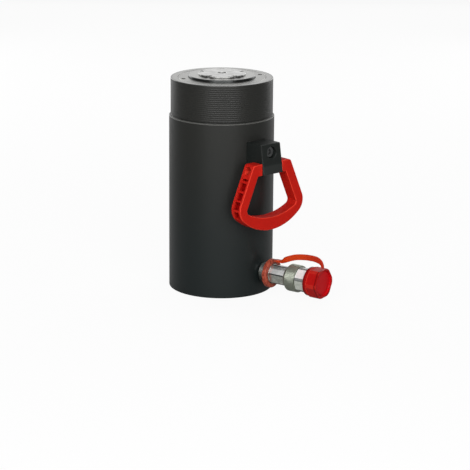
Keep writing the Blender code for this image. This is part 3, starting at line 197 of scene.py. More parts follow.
floor = paper_floor()
lamps = [softbox("front_left_softbox", -18.0, 0.8, 1.9, 1.1, 26.0),
         softbox("front_right_softbox", 20.0, 0.8, 1.9, 1.1, 25.0),
         softbox("left_softbox", -100.0, 2.1, 1.7, 1.2, 6.0),
         softbox("overhead_panel", 180.0, 2.4, 0.4, 1.4, 8.0),
         softbox("back_panel", 180.0, 0.9, 2.0, 1.8, 7.0),
         softbox("back_left_panel", -142.0, 0.6, 1.7, 1.2, 12.0),
         softbox("back_right_panel", 142.0, 0.6, 1.7, 1.2, 10.0)]
world = bpy.data.worlds.new("soft_white_room")
scene.world = world
world.use_nodes = True
room = Socket(world.node_tree)
seen = room.node("ShaderNodeLightPath", "Is Camera Ray")
mirrored = room.node("ShaderNodeLightPath", "Is Glossy Ray")
world.node_tree.links.new((0.18 + seen * 0.82 + mirrored * 0.25).output,
                          world.node_tree.nodes["Background"].inputs["Strength"])
world.node_tree.nodes["Background"].inputs["Color"].default_value = (1.0, 1.0, 1.0, 1.0)

lens = bpy.data.cameras.new("photo_camera")
lens.lens = 150.06
lens.sensor_width = 36.0
lens.clip_start = 0.05
camera = bpy.data.objects.new("photo_camera", lens)
scene.collection.objects.link(camera)
camera.matrix_world = (Matrix.Rotation(radians(36.0), 4, "Z")
                       @ Matrix.Translation((0.0, -2.3192, 0.6953))
                       @ Matrix.Rotation(radians(-0.4240), 4, "Z")
                       @ Matrix.Rotation(radians(90.0 - 15.2675), 4, "X")
                       @ Matrix.Rotation(radians(0.4528), 4, "Z"))
scene.camera = camera


# The barrel: one thick steel cup, 127 mm across and 259 mm high, turned all over. Its collar
# carries a fine thread for a fixture, and four tapped holes are in its base. It is baked with
# semi-matt black paint, except for the end face, which is bright. The shoulder's edge carries a
# painted highlight, and the end face is painted darker towards its rim as shade.
def eased(corners, pieces=6):
    """A line of (radius, level) points from corners (radius, level, rounding), all in mm."""
    line = []
    for index, corner in enumerate(corners):
        here = Vector(corner[:2])
        if len(corner) < 3:
            line.append(here)
            continue
        back = (Vector(corners[index - 1][:2]) - here).normalized()
        ahead = (Vector(corners[(index + 1) % len(corners)][:2]) - here).normalized()
        half = back.angle(ahead) / 2
        centre = here + (back + ahead).normalized() * corner[2] / sin(half)
        first = here + back * corner[2] / tan(half) - centre
        last = here + ahead * corner[2] / tan(half) - centre
        line += [centre + first.slerp(last, step / pieces) * corner[2] for step in range(pieces + 1)]
    return line


def new_piece(name, mesh_data):
    """Puts what a bmesh holds in the scene as a smooth-shaded object."""
    bmesh.ops.recalc_face_normals(mesh_data, faces=mesh_data.faces)
    mesh = bpy.data.meshes.new(name)
    mesh_data.to_mesh(mesh)
    mesh_data.free()
    mesh.shade_smooth()
    piece = bpy.data.objects.new(name, mesh)
    scene.collection.objects.link(piece)
    return piece


def hexagon_angles(flats, corner_radius, turn):
    """Directions round a hexagon whose corners are turned off, each with the radius there."""
    half = flats / 2
    edge = acos(half / corner_radius)
    angles = []
    for side in range(6):
        middle = turn + pi / 6 + side * pi / 3
        angles += [(middle + edge * step / 12, half / cos(edge * step / 12)) for step in range(-12, 13)]
        angles += [(middle + edge + (pi / 3 - 2 * edge) * step / 6, inf) for step in range(1, 6)]
    return angles


def turned(name, corners, steps=192, hexagon=None, hex_from=-inf, hex_to=inf):
    """Turns corners in mm about local Z. Between two levels it can be filed to a hexagon."""
    line = eased(corners)
    on_axis = line[0].x == 0.0 and line[-1].x == 0.0
    around = hexagon_angles(*hexagon) if hexagon else [(2 * pi * step / steps, inf)
                                                       for step in range(steps)]
    if hexagon:
        fine = []
        for first, second in zip(line, line[1:] + ([] if on_axis else line[:1])):
            steep = min(first.x, second.x) > hexagon[0] / 2.2 and abs(first.x - second.x) > 0.05
            fine += [first.lerp(second, part / 8) for part in range(8 if steep else 1)]
        line = fine + line[-1:] if on_axis else fine
    body = bmesh.new()
    rows = []
    for point in line:
        if point.x == 0.0:
            rows.append([body.verts.new((0.0, 0.0, point.y * MM))])
            continue
        filed = hex_from < point.y < hex_to
        row = [(min(point.x, limit) if filed else point.x, angle) for angle, limit in around]
        rows.append([body.verts.new((radius * cos(angle) * MM, radius * sin(angle) * MM,
                                     point.y * MM)) for radius, angle in row])
    pairs = list(zip(rows, rows[1:])) + ([] if on_axis else [(rows[-1], rows[0])])
    for upper, lower in pairs:
        for index in range(len(around)):
            after = (index + 1) % len(around)
            face = [upper[index % len(upper)], upper[after % len(upper)],
                    lower[after % len(lower)], lower[index % len(lower)]]
            body.faces.new(list(dict.fromkeys(face)))
    return new_piece(name, body)


def plain(piece):
    """Turns a piece's modifiers into its plain mesh."""
    graph = bpy.context.evaluated_depsgraph_get()
    mesh = bpy.data.meshes.new_from_object(piece.evaluated_get(graph), depsgraph=graph,
                                           preserve_all_data_layers=True)
    piece.modifiers.clear()
    piece.data = mesh


def carved(piece, *cutters):
    """Cuts pieces out of another with exact Booleans."""
    for cutter in cutters:
        cut = piece.modifiers.new("cut", "BOOLEAN")
        cut.operation = "DIFFERENCE"
        cut.solver = "EXACT"
        cut.object = cutter
    plain(piece)
    for cutter in cutters:
        bpy.data.objects.remove(cutter)


def geometry_tree(name, *sockets):
    """A Geometry Nodes group with named inputs (name, kind, value), and its input node."""
    tree = bpy.data.node_groups.new(name, "GeometryNodeTree")
    tree.interface.new_socket("Geometry", in_out="INPUT", socket_type="NodeSocketGeometry")
    tree.interface.new_socket("Geometry", in_out="OUTPUT", socket_type="NodeSocketGeometry")
    for label, kind, value in sockets:
        socket = tree.interface.new_socket(label, in_out="INPUT", socket_type="NodeSocket" + kind)
        if value is not None:
            socket.default_value = value
    entry = tree.nodes.new("NodeGroupInput")
    return tree, {socket.name: Socket(tree, socket) for socket in entry.outputs if socket.name}


def close_tree(tree, geometry, material):
    """Ends a group in Realize Instances and Set Material."""
    start = Socket(tree)
    real = start.node("GeometryNodeRealizeInstances", 0, {"Geometry": geometry})
    done = start.node("GeometryNodeSetMaterial", 0, {"Geometry": real, "Material": material})
    leave = tree.nodes.new("NodeGroupOutput")
    tree.links.new(done.output, leave.inputs["Geometry"])


def grown(piece, tree, **values):
    """Runs a Geometry Nodes group on a piece and keeps the outcome as its plain mesh."""
    modifier = piece.modifiers.new(tree.name, "NODES")
    modifier.node_group = tree
    for item in tree.interface.items_tree:
        label = item.name.replace(" ", "_")
        if item.in_out == "INPUT" and label in values:
            modifier[item.identifier] = values[label]
    plain(piece)


def cut_copies(tree, given, points, **placing):
    """Ends a group that cuts a copy of its cutter out of the piece at each point."""
    start = Socket(tree)
    shape = start.node("GeometryNodeObjectInfo", "Geometry", {"Object": given["Cutter"]})
    copies = start.node("GeometryNodeInstanceOnPoints", 0,
                        {"Points": points, "Instance": shape, **placing})
    cutters = start.node("GeometryNodeRealizeInstances", 0, {"Geometry": copies})
    cut = start.node("GeometryNodeMeshBoolean", 0, {"Mesh 1": given["Geometry"], "Mesh 2": cutters},
                     operation="DIFFERENCE", solver="EXACT")
    close_tree(tree, cut, given["Material"])
    return tree


def round_holes_tree():
    """Cuts copies of a cutter out of a piece, spaced evenly on a circle about local Z."""
    tree, given = geometry_tree("holes_on_a_circle", ("Cutter", "Object", None), ("Count", "Int", 4),
                                ("Circle", "Float", 0.05), ("Turn", "Float", 0.0),
                                ("Material", "Material", None))
    start = Socket(tree)
    points = start.node("GeometryNodePoints", 0, {"Count": given["Count"]})
    index = start.node("GeometryNodeInputIndex")
    angle = given["Turn"] + index * (2 * pi) / given["Count"]
    place = start.node("ShaderNodeCombineXYZ", 0, {"X": angle.cosine() * given["Circle"],
                                                   "Y": angle.sine() * given["Circle"]})
    spread = start.node("GeometryNodeSetPosition", 0, {"Geometry": points, "Position": place})
    facing = start.node("ShaderNodeCombineXYZ", 0, {"Z": angle})
    return cut_copies(tree, given, spread, Rotation=facing)


def thread_tree():
    """Adds a helical ridge to a turned piece: a spiral with a three-cornered section."""
    tree, given = geometry_tree("thread_ridge", ("Turns", "Float", 10.0), ("Root", "Float", 0.06),
                                ("Foot", "Float", 0.0), ("Length", "Float", 0.04),
                                ("Depth", "Float", 0.0004), ("Material", "Material", None))
    start = Socket(tree)
    helix = start.node("GeometryNodeCurveSpiral", 0,
                       {"Resolution": 160, "Rotations": given["Turns"], "Start Radius": given["Root"],
                        "End Radius": given["Root"], "Height": given["Length"]})
    level = start.node("GeometryNodeSetCurveNormal", 0, {"Curve": helix}, mode="Z_UP")
    flank = given["Length"] / given["Turns"] * 0.46
    corners = ((0.6, 1.0), (-1.0, 0.16), (-1.0, -0.16), (0.6, -1.0))  # the crest points to -X
    section = start.node("GeometryNodeCurvePrimitiveQuadrilateral", 0, {
        f"Point {number}": start.node("ShaderNodeCombineXYZ", 0, {"X": given["Depth"] * inward,
                                                                  "Y": flank * along})
        for number, (inward, along) in enumerate(corners, 1)}, mode="POINTS")
    ridge = start.node("GeometryNodeCurveToMesh", 0,
                       {"Curve": level, "Profile Curve": section, "Fill Caps": True})
    shift = start.node("ShaderNodeCombineXYZ", 0, {"Z": given["Foot"]})
    placed = start.node("GeometryNodeTransform", 0, {"Geometry": ridge, "Translation": shift})
    both = start.node("GeometryNodeJoinGeometry", 0, {"Geometry": placed})
    tree.links.new(given["Geometry"].output, both.output.node.inputs[0])
    close_tree(tree, both, given["Material"])
    return tree


def finished(piece, finish, slot, body, *nodes, place=Matrix(), sharp=38.0):
    """Places a piece, sets its material and shading, and hands it to its body; its slot is not used."""
    piece.data.transform(place)
    piece.data.materials.clear()
    piece.data.materials.append(finish.material)
    piece.data.shade_smooth()
    piece.data.set_sharp_from_angle(angle=radians(sharp))
    even = piece.modifiers.new("even_flats", "WEIGHTED_NORMAL")
    even.keep_sharp = True
    plain(piece)
    if body:
        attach(piece, body)
    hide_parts(*nodes)
    return piece


black_paint = Finish("black_paint", (0.0105, 0.0115, 0.011), 0.4, Specular_IOR_Level=0.25)
height = black_paint.part("Z")
reach = (black_paint.part("X") ** 2 + black_paint.part("Y") ** 2) ** 0.5
bare = height.rise(0.2582, 0.2586)
drift = black_paint.noise(14.0)
painted = black_paint.blend(height.rise(0.02, 0.24), (0.0070, 0.0100, 0.0100),
                            (0.0130, 0.0132, 0.0116))
# A lighter line on the shoulder's edge: a painted highlight.
shoulder_highlight = height.rise(0.2126, 0.2131) * (1 - height.rise(0.2136, 0.2139))
coated = black_paint.blend(shoulder_highlight, painted, (0.09, 0.09, 0.085))
# The bare end face is painted darker towards its outer rim: painted shade.
rim_shade = black_paint.blend(reach.rise(0.0588, 0.0612), (0.205, 0.205, 0.196), (0.062, 0.062, 0.060))
rings = (reach * 8200.0).sine()
black_paint.feed(
    Base_Color=black_paint.blend(bare, coated, rim_shade), Metallic=bare,
    Roughness=0.36 + drift * 0.08 - bare * 0.14)
black_paint.bump(black_paint.noise(650.0) * (1 - bare) + rings * bare * 0.2, 0.00003)

PORT_LEVEL, SCREW_LEVEL = 27.0, 181.3
COUPLER_AXIS = Matrix.Translation((0.0, 0.0, PORT_LEVEL * MM)) @ Matrix.Rotation(pi / 2, 4, "Y")
HANDLE_STATION = Matrix.Rotation(radians(-12.3), 4, "Z")
TO_SCREW = Matrix.Translation((0.0, 0.0, SCREW_LEVEL * MM)) @ Matrix.Rotation(pi / 2, 4, "Y")
BLOCK_SCREW_AXIS = HANDLE_STATION @ TO_SCREW
barrel = turned("painted_barrel", [
    (0.0, 12.0), (4.3, 12.0), (4.3, 22.0), (47.625, 22.0), (47.625, 221.0), (53.0, 221.0),
    (53.0, 259.3, 0.4), (61.62, 259.3, 0.7), (61.62, 215.3, 0.3), (60.9, 214.7, 0.3),
    (60.9, 213.5, 0.25), (63.5, 213.5, 0.75), (63.5, 0.0, 1.3), (0.0, 0.0),
], 256)
port = turned("port", [(0.0, 66.0), (12.3, 66.0), (8.6, 62.1), (8.6, 48.9), (4.0, 48.9), (4.0, 44.0),
                       (0.0, 44.0)], 64)
port.data.transform(COUPLER_AXIS)
screw_hole = turned("screw_hole", [(0.0, 66.0), (4.2, 66.0), (4.2, 52.5), (0.0, 52.5)], 48)
screw_hole.data.transform(BLOCK_SCREW_AXIS)
carved(barrel, port, screw_hole)
base_hole = turned("base_hole", [(0.0, 14.0), (5.1, 11.0), (5.1, 0.9), (6.2, -0.2), (0.0, -0.2)], 48)
holes_on_a_circle = round_holes_tree()
grown(barrel, holes_on_a_circle, Cutter=base_hole, Count=4, Circle=0.0476, Turn=radians(45.0),
      Material=black_paint.material)
grown(barrel, thread_tree(), Turns=17.0, Root=0.06162, Foot=0.2163, Length=0.0405, Depth=0.00012,
      Material=black_paint.material)
bpy.data.objects.remove(base_hole)
finished(barrel, black_paint, "black_paint", "cylinder", "barrel")

# The gland nut: a bright turned ring, screwed flush into the barrel's mouth to hold the plunger
# in. A pin spanner fits its two holes. It holds the wiper and the guide bush inside.
bare_steel = Finish("bare_steel", (0.44, 0.44, 0.42), 0.4, 1.0)
reach = (bare_steel.part("X") ** 2 + bare_steel.part("Y") ** 2) ** 0.5
stain = bare_steel.noise(60.0, 4.0)
bare_steel.feed(Base_Color=bare_steel.blend(stain, (0.185, 0.185, 0.176), (0.265, 0.265, 0.252)),
                Roughness=0.22 + stain * 0.12)
bare_steel.bump((reach * 9500.0).sine() + bare_steel.noise(900.0), 0.00001)

gland = turned("bright_gland_nut", [
    (52.7, 259.3, 0.7), (52.7, 221.3, 0.5), (40.3, 221.3), (40.3, 226.3), (43.3, 226.3),
    (43.3, 244.9), (40.3, 244.9), (40.3, 250.0), (44.0, 250.0), (44.0, 256.3), (40.3, 256.3),
    (40.3, 259.3, 0.6),
])
spanner_hole = turned("spanner_hole", [(0.0, 260.0), (3.8, 260.0), (3.0, 259.0), (3.0, 252.5),
                                       (0.0, 251.3)], 40)
grown(gland, holes_on_a_circle, Cutter=spanner_hole, Count=2, Circle=0.0482, Turn=radians(54.0),
      Material=bare_steel.material)
bpy.data.objects.remove(spanner_hole)
finished(gland, bare_steel, "bare_steel", "cylinder", "gland_nut")

# The plunger: a hollow steel ram, 80 mm across, ground and blackened on its side by nitriding, with
# a bright faced crown. A socket in the crown takes the saddle, and the piston sits on its foot.
ram_steel = Finish("ram_steel", (0.44, 0.44, 0.42), 0.35, 1.0)
reach = (ram_steel.part("X") ** 2 + ram_steel.part("Y") ** 2) ** 0.5
side = reach.rise(0.0392, 0.0396)
haze = ram_steel.noise(80.0, 3.0)
crown = ram_steel.blend(haze, (0.25, 0.25, 0.24), (0.36, 0.36, 0.345))
ram_steel.feed(Base_Color=ram_steel.blend(side, crown, (0.050, 0.052, 0.052)),
               Roughness=0.24 + haze * 0.1)
ram_steel.bump((reach * 9500.0).sine() * (1 - side) + ram_steel.noise(1200.0), 0.00001)

piston_foot, piston_top = (corner.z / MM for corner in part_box("piston"))
plunger = turned("hollow_plunger", [
    (0.0, 248.1), (12.3, 248.1), (12.3, 262.1, 0.5), (40.0, 262.1, 0.9), (40.0, piston_top + 0.3, 0.3),
    (34.0, piston_top + 0.3), (34.0, piston_foot + 0.3, 0.6), (29.0, piston_foot + 0.3),
    (29.0, 234.1), (4.3, 234.1), (4.3, 244.1), (0.0, 244.1),
])
finished(plunger, ram_steel, "bare_steel", "plunger", "plunger")

# The saddle: a loose hardened pad, 57 mm across, ground bright, that takes the load. Five notches
# in its rim bite into it, and a plain hole is in its middle. Its spigot drops into the plunger.
saddle_steel = Finish("saddle_steel", (0.6, 0.6, 0.59), 0.33, 1.0)
across = saddle_steel.part("X")
reach = (across ** 2 + saddle_steel.part("Y") ** 2) ** 0.5
# Faces below the top take a plain steel colour, except the middle hole, which is painted dark and less
# metallic as painted shade.
sunk_faces = (1 - saddle_steel.part("Z").rise(0.2632, 0.2638)) * (1 - reach.rise(0.02855, 0.02865))
# The rim's outer edge and side are painted darker: painted shade under the disc's edge.
edge = reach.rise(0.02845, 0.0286)
bore = 1 - reach.rise(0.0054, 0.0057)
scuff = saddle_steel.noise(110.0, 5.0)
ground = saddle_steel.blend(scuff.rise(0.3, 0.7), (0.34, 0.34, 0.335), (0.58, 0.58, 0.57))
dull = saddle_steel.blend(bore, (0.10, 0.10, 0.098), (0.55, 0.55, 0.54))
faced = saddle_steel.blend(edge, ground, (0.27, 0.27, 0.265))
saddle_steel.feed(Base_Color=saddle_steel.blend(sunk_faces, faced, dull),
                  Roughness=0.24 + scuff * 0.16, Metallic=1 - sunk_faces * bore * 0.8)
saddle_steel.bump(saddle_steel.noise(700.0) + (across * 7000.0).sine() * 0.3, 0.00001)

saddle = turned("notched_saddle", [
    (0.0, 258.3), (5.5, 258.3), (5.5, 264.3, 0.4), (28.7, 264.3, 0.45), (28.7, 262.4, 0.2),
    (12.0, 262.4), (12.0, 253.1), (10.4, 253.1), (10.4, 250.9), (12.0, 250.9), (12.0, 248.4, 0.9),
    (0.0, 248.4),
], 200)
notch_data = bmesh.new()
bmesh.ops.create_cube(notch_data, size=1.0, matrix=(Matrix.Translation((0.0, 0.0, 0.2643))
                                                   @ Matrix.Diagonal((0.012, 0.006, 0.0028, 1.0))))
bmesh.ops.bevel(notch_data, geom=[edge for edge in notch_data.edges
                                  if all(vertex.co.z < 0.264 for vertex in edge.verts)],
                offset=0.0006, segments=4, profile=0.5, affect="EDGES")
notch = new_piece("rim_notch", notch_data)
grown(saddle, holes_on_a_circle, Cutter=notch, Count=5, Circle=0.0287, Turn=radians(126.0),
      Material=saddle_steel.material)
bpy.data.objects.remove(notch)
finished(saddle, saddle_steel, "saddle_steel", "saddle", "saddle")


# The handle block: moulded black nylon, hollowed to the barrel's side and leaning out at the foot.
# A counterbore in its face holds the screw. Its edges are rounded as the mould leaves them.
def plate(name, outline, thickness):
    """A flat plate from a closed outline in mm, centred on its own XY plane."""
    sheet = bmesh.new()
    face = sheet.faces.new([sheet.verts.new((across * MM, up * MM, -thickness * MM / 2))
                            for across, up in outline])
    raised = bmesh.ops.extrude_face_region(sheet, geom=[face])["geom"]
    bmesh.ops.translate(sheet, vec=(0.0, 0.0, thickness * MM),
                        verts=[item for item in raised if isinstance(item, bmesh.types.BMVert)])
    return new_piece(name, sheet)


def rounded(piece, width, segments, angle):
    """Rounds a piece's edges that are sharper than an angle in degrees."""
    bevel = piece.modifiers.new("rounded", "BEVEL")
    bevel.width = width * MM
    bevel.segments = segments
    bevel.limit_method = "ANGLE"
    bevel.angle_limit = radians(angle)
    bevel.use_clamp_overlap = True
    plain(piece)


black_nylon = Finish("black_nylon", (0.012, 0.0125, 0.012), 0.45, Specular_IOR_Level=0.17)
# The block is coloured darker above 166.5 mm and lighter below it.
upper_block_tone = black_nylon.part("Z").rise(0.1655, 0.1675)
black_nylon.feed(Base_Color=black_nylon.blend(upper_block_tone, (0.0160, 0.0180, 0.0170),
                                              (0.0080, 0.0098, 0.0090)),
                 Roughness=0.42 + black_nylon.noise(35.0) * 0.1)
black_nylon.bump(black_nylon.noise(1500.0, 3.0), 0.00002)

BLOCK_FOOT, BLOCK_TOP, REACH_FOOT, REACH_TOP, BLOCK_BACK = 156.0, 191.5, 92.7, 87.1, 60.0
LEAN = (REACH_FOOT - REACH_TOP) / (BLOCK_TOP - BLOCK_FOOT)
FACE_AT_SCREW = REACH_TOP + LEAN * (BLOCK_TOP - SCREW_LEVEL)
COUNTERBORE_FLOOR = FACE_AT_SCREW - 14.2
COUNTERBORE, SCREW_WAY = 7.1, 4.2
PIN_REACH, PIN_LEVEL = 82.9, 162.8
block = plate("moulded_block", [(BLOCK_BACK, BLOCK_FOOT), (REACH_FOOT, BLOCK_FOOT),
                                (REACH_TOP, BLOCK_TOP), (BLOCK_BACK, BLOCK_TOP)], 31.0)
block.data.transform(Matrix.Rotation(pi / 2, 4, "X"))
rounded(block, 1.2, 4, 30.0)
barrel_room = turned("barrel_room", [(0.0, 195.0), (63.8, 195.0), (63.8, 150.0), (0.0, 150.0)], 256)
screw_way = turned("screw_way", [
    (0.0, 95.0), (COUNTERBORE + 95.0 - FACE_AT_SCREW, 95.0), (COUNTERBORE, FACE_AT_SCREW),
    (COUNTERBORE, COUNTERBORE_FLOOR), (SCREW_WAY, COUNTERBORE_FLOOR), (SCREW_WAY, 58.0),
    (0.0, 58.0)], 96)
screw_way.data.transform(TO_SCREW)
PIN_PLACE = Matrix.Translation((PIN_REACH * MM, 0.0, PIN_LEVEL * MM))
to_pin = PIN_PLACE @ Matrix.Rotation(-pi / 2, 4, "X")
pin_way = turned("pin_way", [(0.0, 17.0), (3.3, 17.0), (3.3, -17.0), (0.0, -17.0)], 48)
pin_way.data.transform(to_pin)
carved(block, barrel_room, screw_way, pin_way)
finished(block, black_nylon, "black_nylon", "cylinder", "handle_block", place=HANDLE_STATION)

# The block's fixing: a socket cap screw of blackened steel on a plain washer, set in the block's
# counterbore and screwed into the barrel's wall. It is done up with a 6 mm key.
dark_steel = Finish("dark_steel", (0.05, 0.05, 0.05), 0.38, 1.0)
wear = dark_steel.noise(300.0, 4.0)
dark_steel.feed(Base_Color=dark_steel.blend(wear.rise(0.5, 0.75), (0.035, 0.035, 0.036),
                                            (0.09, 0.088, 0.085)),
                Roughness=0.32 + wear * 0.15)
dark_steel.bump(dark_steel.noise(1800.0), 0.00001)

oxide_black = Finish("oxide_black", (0.05, 0.052, 0.052), 0.5, 0.2)
oxide_black.feed(Roughness=0.45 + oxide_black.noise(260.0, 3.0) * 0.14)
oxide_black.bump(oxide_black.noise(1500.0), 0.00001)

WASHER_FOOT, WASHER_TOP = COUNTERBORE_FLOOR + 0.3, COUNTERBORE_FLOOR + 1.9
HEAD_FOOT = COUNTERBORE_FLOOR + 2.2
screw = turned("cap_screw", [
    (0.0, HEAD_FOOT + 8.0), (6.5, HEAD_FOOT + 8.0, 0.55), (6.5, HEAD_FOOT, 0.2), (3.9, HEAD_FOOT),
    (3.9, 52.8, 0.5), (0.0, 52.8)], 96)
key_hole = turned("key_hole", [
    (0.0, HEAD_FOOT + 8.3), (4.0, HEAD_FOOT + 8.3), (4.0, HEAD_FOOT + 4.0), (0.0, HEAD_FOOT + 3.0),
], hexagon=(6.0, 3.44, 0.0))
carved(screw, key_hole)
finished(screw, oxide_black, "dark_steel", "cylinder", "block_screw", place=BLOCK_SCREW_AXIS)
washer = turned("screw_washer", [(6.5, WASHER_TOP, 0.25), (6.5, WASHER_FOOT, 0.2),
                                 (SCREW_WAY, WASHER_FOOT), (SCREW_WAY, WASHER_TOP)], 96)
finished(washer, oxide_black, "dark_steel", "cylinder", "block_washer", place=BLOCK_SCREW_AXIS)

# The handle's pin: a plain steel rod through the block and both arms, kept by a sprung push-on
# clip at each end, deep in the arms' recesses.
spring_steel = Finish("spring_steel", (0.075, 0.075, 0.078), 0.35, 1.0)
spring_steel.feed(Roughness=0.28 + spring_steel.noise(220.0, 3.0) * 0.16)
spring_steel.bump(spring_steel.noise(1600.0), 0.00001)

PIN_AXIS = HANDLE_STATION @ to_pin
pin = turned("hinge_pin", [(0.0, 22.6), (3.0, 22.6, 0.5), (3.0, -22.6, 0.5), (0.0, -22.6)], 64)
finished(pin, dark_steel, "dark_steel", "cylinder", "handle_pin", place=PIN_AXIS)
for side, word in ((1, "right"), (-1, "left")):
    clip = turned(f"push_on_clip_{word}", [(4.25, side * 20.95, 0.1), (4.25, side * 21.15, 0.1),
                                           (3.5, side * 21.75), (3.3, side * 21.75),
                                           (3.3, side * 21.5)], 64)
    finished(clip, spring_steel, "spring_steel", "cylinder", f"pin_clip_{word}", place=PIN_AXIS)

# The carrying handle: red nylon, moulded in one as a U with two ears that the pin passes through.
# The outer sides of its arms are cored out, with ribs left across the channels to stiffen them.
red_nylon = Finish("red_nylon", (0.46, 0.008, 0.007), 0.6, Specular_IOR_Level=0.07)
mottle = red_nylon.noise(45.0, 3.0)
# The pockets are painted darker the deeper they go: painted shade.
pocket = red_nylon.node("ShaderNodeAttribute", "Fac", attribute_name="pocket")
# The rounded edges are painted a lighter orange-red: a painted highlight.
edge_highlight = red_nylon.node("ShaderNodeAttribute", "Fac", attribute_name="edge_highlight")
skin = red_nylon.blend(mottle, (0.34, 0.0018, 0.0010), (0.40, 0.0040, 0.0020))
edged = red_nylon.blend(edge_highlight * 0.6, skin, (0.74, 0.060, 0.032))
red_nylon.feed(Base_Color=red_nylon.blend(pocket, edged, (0.24, 0.001, 0.001)),
               Roughness=0.58 + mottle * 0.1)
red_nylon.bump(red_nylon.noise(1300.0, 3.0), 0.00002)

HANDLE_HINGE = HANDLE_STATION @ PIN_PLACE
EAR_TOP, EAR_FOOT, HALF_TOP, FLARE, ARM_WIDTH = 6.9, -7.0, 29.6, radians(23.9), 12.1
EAR_INNER, EAR_ROUNDING, CORNER = 15.8, 4.5, 17.5
OUTER_EDGE = (0.0, CORNER, 68.8, 75.2)  # offset, corner's radius, bar's radius, bar's drop
INNER_EDGE = (ARM_WIDTH, 5.4, 82.5, 59.6)
POCKETS = ((18.6, 2.6), (27.4, 9.4), (39.2, 9.0), (50.6, 9.4), (63.4, 10.0))  # distance, length


def arm_edge(offset, fillet, arc, drop):
    """An arm's edge: its top, its lower corner's centre and last angle, and the bar's centre."""
    along = Vector((sin(FLARE), -cos(FLARE)))
    outward = Vector((cos(FLARE), sin(FLARE)))
    top = Vector((HALF_TOP, EAR_TOP)) - outward * offset
    arc_centre = Vector((0.0, arc - drop))
    start = top - outward * fillet - arc_centre
    half_b = start.dot(along)
    run = -half_b + sqrt(half_b ** 2 - start.length_squared + (arc - fillet) ** 2)
    centre = arc_centre + start + along * run
    last = atan2(centre.y - arc_centre.y, centre.x - arc_centre.x)
    return top, centre, last, arc_centre


def arm_chain(offset, fillet, arc, drop, pieces=20):
    """Points round an arm's lower corner and along the bar to its middle."""
    top, centre, last, arc_centre = arm_edge(offset, fillet, arc, drop)
    chain = []
    for index in range(pieces + 1):
        angle = FLARE + (last - FLARE) * index / pieces
        chain.append((centre.x + fillet * cos(angle), centre.y + fillet * sin(angle)))
    for index in range(1, pieces + 1):
        angle = last + (-pi / 2 - last) * index / pieces
        chain.append((arc_centre.x + arc * cos(angle), arc_centre.y + arc * sin(angle)))
    return top, chain


def handle_outline():
    """The handle seen from the front, in mm about its pin."""
    top, outer = arm_chain(*OUTER_EDGE)
    inner_top, inner = arm_chain(*INNER_EDGE)
    inset = EAR_ROUNDING * tan((pi / 2 - FLARE) / 2)
    ear_root = (inner_top.x + (inner_top.y - EAR_FOOT) * tan(FLARE), EAR_FOOT)
    crown = []
    for index in range(9):
        angle = pi / 2 + (FLARE - pi / 2) * index / 8
        crown.append((top.x - inset + EAR_ROUNDING * cos(angle),
                      top.y - EAR_ROUNDING + EAR_ROUNDING * sin(angle)))
    outside = [(EAR_INNER, EAR_TOP)] + crown + outer
    inside = list(reversed(inner)) + [ear_root, (EAR_INNER, EAR_FOOT)]
    left_outside = [(-across, up) for across, up in reversed(outside[:-1])]
    left_inside = [(-across, up) for across, up in reversed(inside[1:])]
    return outside + left_outside + left_inside + inside


def rib_pockets_tree():
    """Cuts one pocket at each point of a guide mesh, turned and stretched by its attributes."""
    tree, given = geometry_tree("pockets_between_ribs", ("Guide", "Object", None),
                                ("Cutter", "Object", None), ("Material", "Material", None))
    start = Socket(tree)
    guide = start.node("GeometryNodeObjectInfo", "Geometry", {"Object": given["Guide"]})
    turn = start.node("GeometryNodeInputNamedAttribute", 0, {"Name": "turn"}, data_type="FLOAT_VECTOR")
    size = start.node("GeometryNodeInputNamedAttribute", 0, {"Name": "size"}, data_type="FLOAT_VECTOR")
    return cut_copies(tree, given, guide, Rotation=turn, Scale=size)


def pocket_guide():
    """A point for each pocket on both arms' outer edges, with its turn about X and its size."""
    spots, turns, sizes = [], [], []
    top, centre, *_ = arm_edge(*OUTER_EDGE)
    straight = (centre + CORNER * Vector((cos(FLARE), sin(FLARE))) - top).length
    for distance, length in POCKETS:
        angle = FLARE
        spot = top + Vector((sin(FLARE), -cos(FLARE))) * distance
        if distance > straight:
            angle = FLARE - (distance - straight) / CORNER
            spot = centre + CORNER * Vector((cos(angle), sin(angle)))
        for side in (-1, 1):
            spots.append((0.0, side * spot.x * MM, spot.y * MM))
            turns.append((side * angle, 0.0, 0.0))
            sizes.append((10.6 * MM, 14.0 * MM, length * MM))
    mesh = bpy.data.meshes.new("pocket_guide")
    mesh.from_pydata(spots, [], [])
    for label, values in (("turn", turns), ("size", sizes)):
        attribute = mesh.attributes.new(label, "FLOAT_VECTOR", "POINT")
        attribute.data.foreach_set("vector", [number for value in values for number in value])
    guide = bpy.data.objects.new("pocket_guide", mesh)
    scene.collection.objects.link(guide)
    return guide


def mark_handle(mesh):
    """Gives each point its depth in a pocket, for painted shade, and its share of a rounded edge, for a
    painted highlight.
    """
    top, centre, *_ = arm_edge(*OUTER_EDGE)
    outward = Vector((cos(FLARE), sin(FLARE)))
    depths, edges = [], []
    for vertex in mesh.vertices:
        thick, spot = vertex.co.x / MM, Vector((abs(vertex.co.y), vertex.co.z)) / MM
        past = (spot - centre).dot(Vector((sin(FLARE), -cos(FLARE)))) > 0
        deep = CORNER - (spot - centre).length if past else (top - spot).dot(outward)
        inside = abs(thick) < 5.4 and 0.1 < deep < 7.2 and spot.y < EAR_TOP - 1.5
        depths.append(min(deep / 4, 1.0) if inside else 0.0)
        slant = 2 * abs(vertex.normal.x) * sqrt(max(0.0, 1 - vertex.normal.x ** 2))
        edges.append(0.0 if inside else slant)
    for label, values in (("pocket", depths), ("edge_highlight", edges)):
        mesh.attributes.new(label, "FLOAT", "POINT").data.foreach_set("value", values)


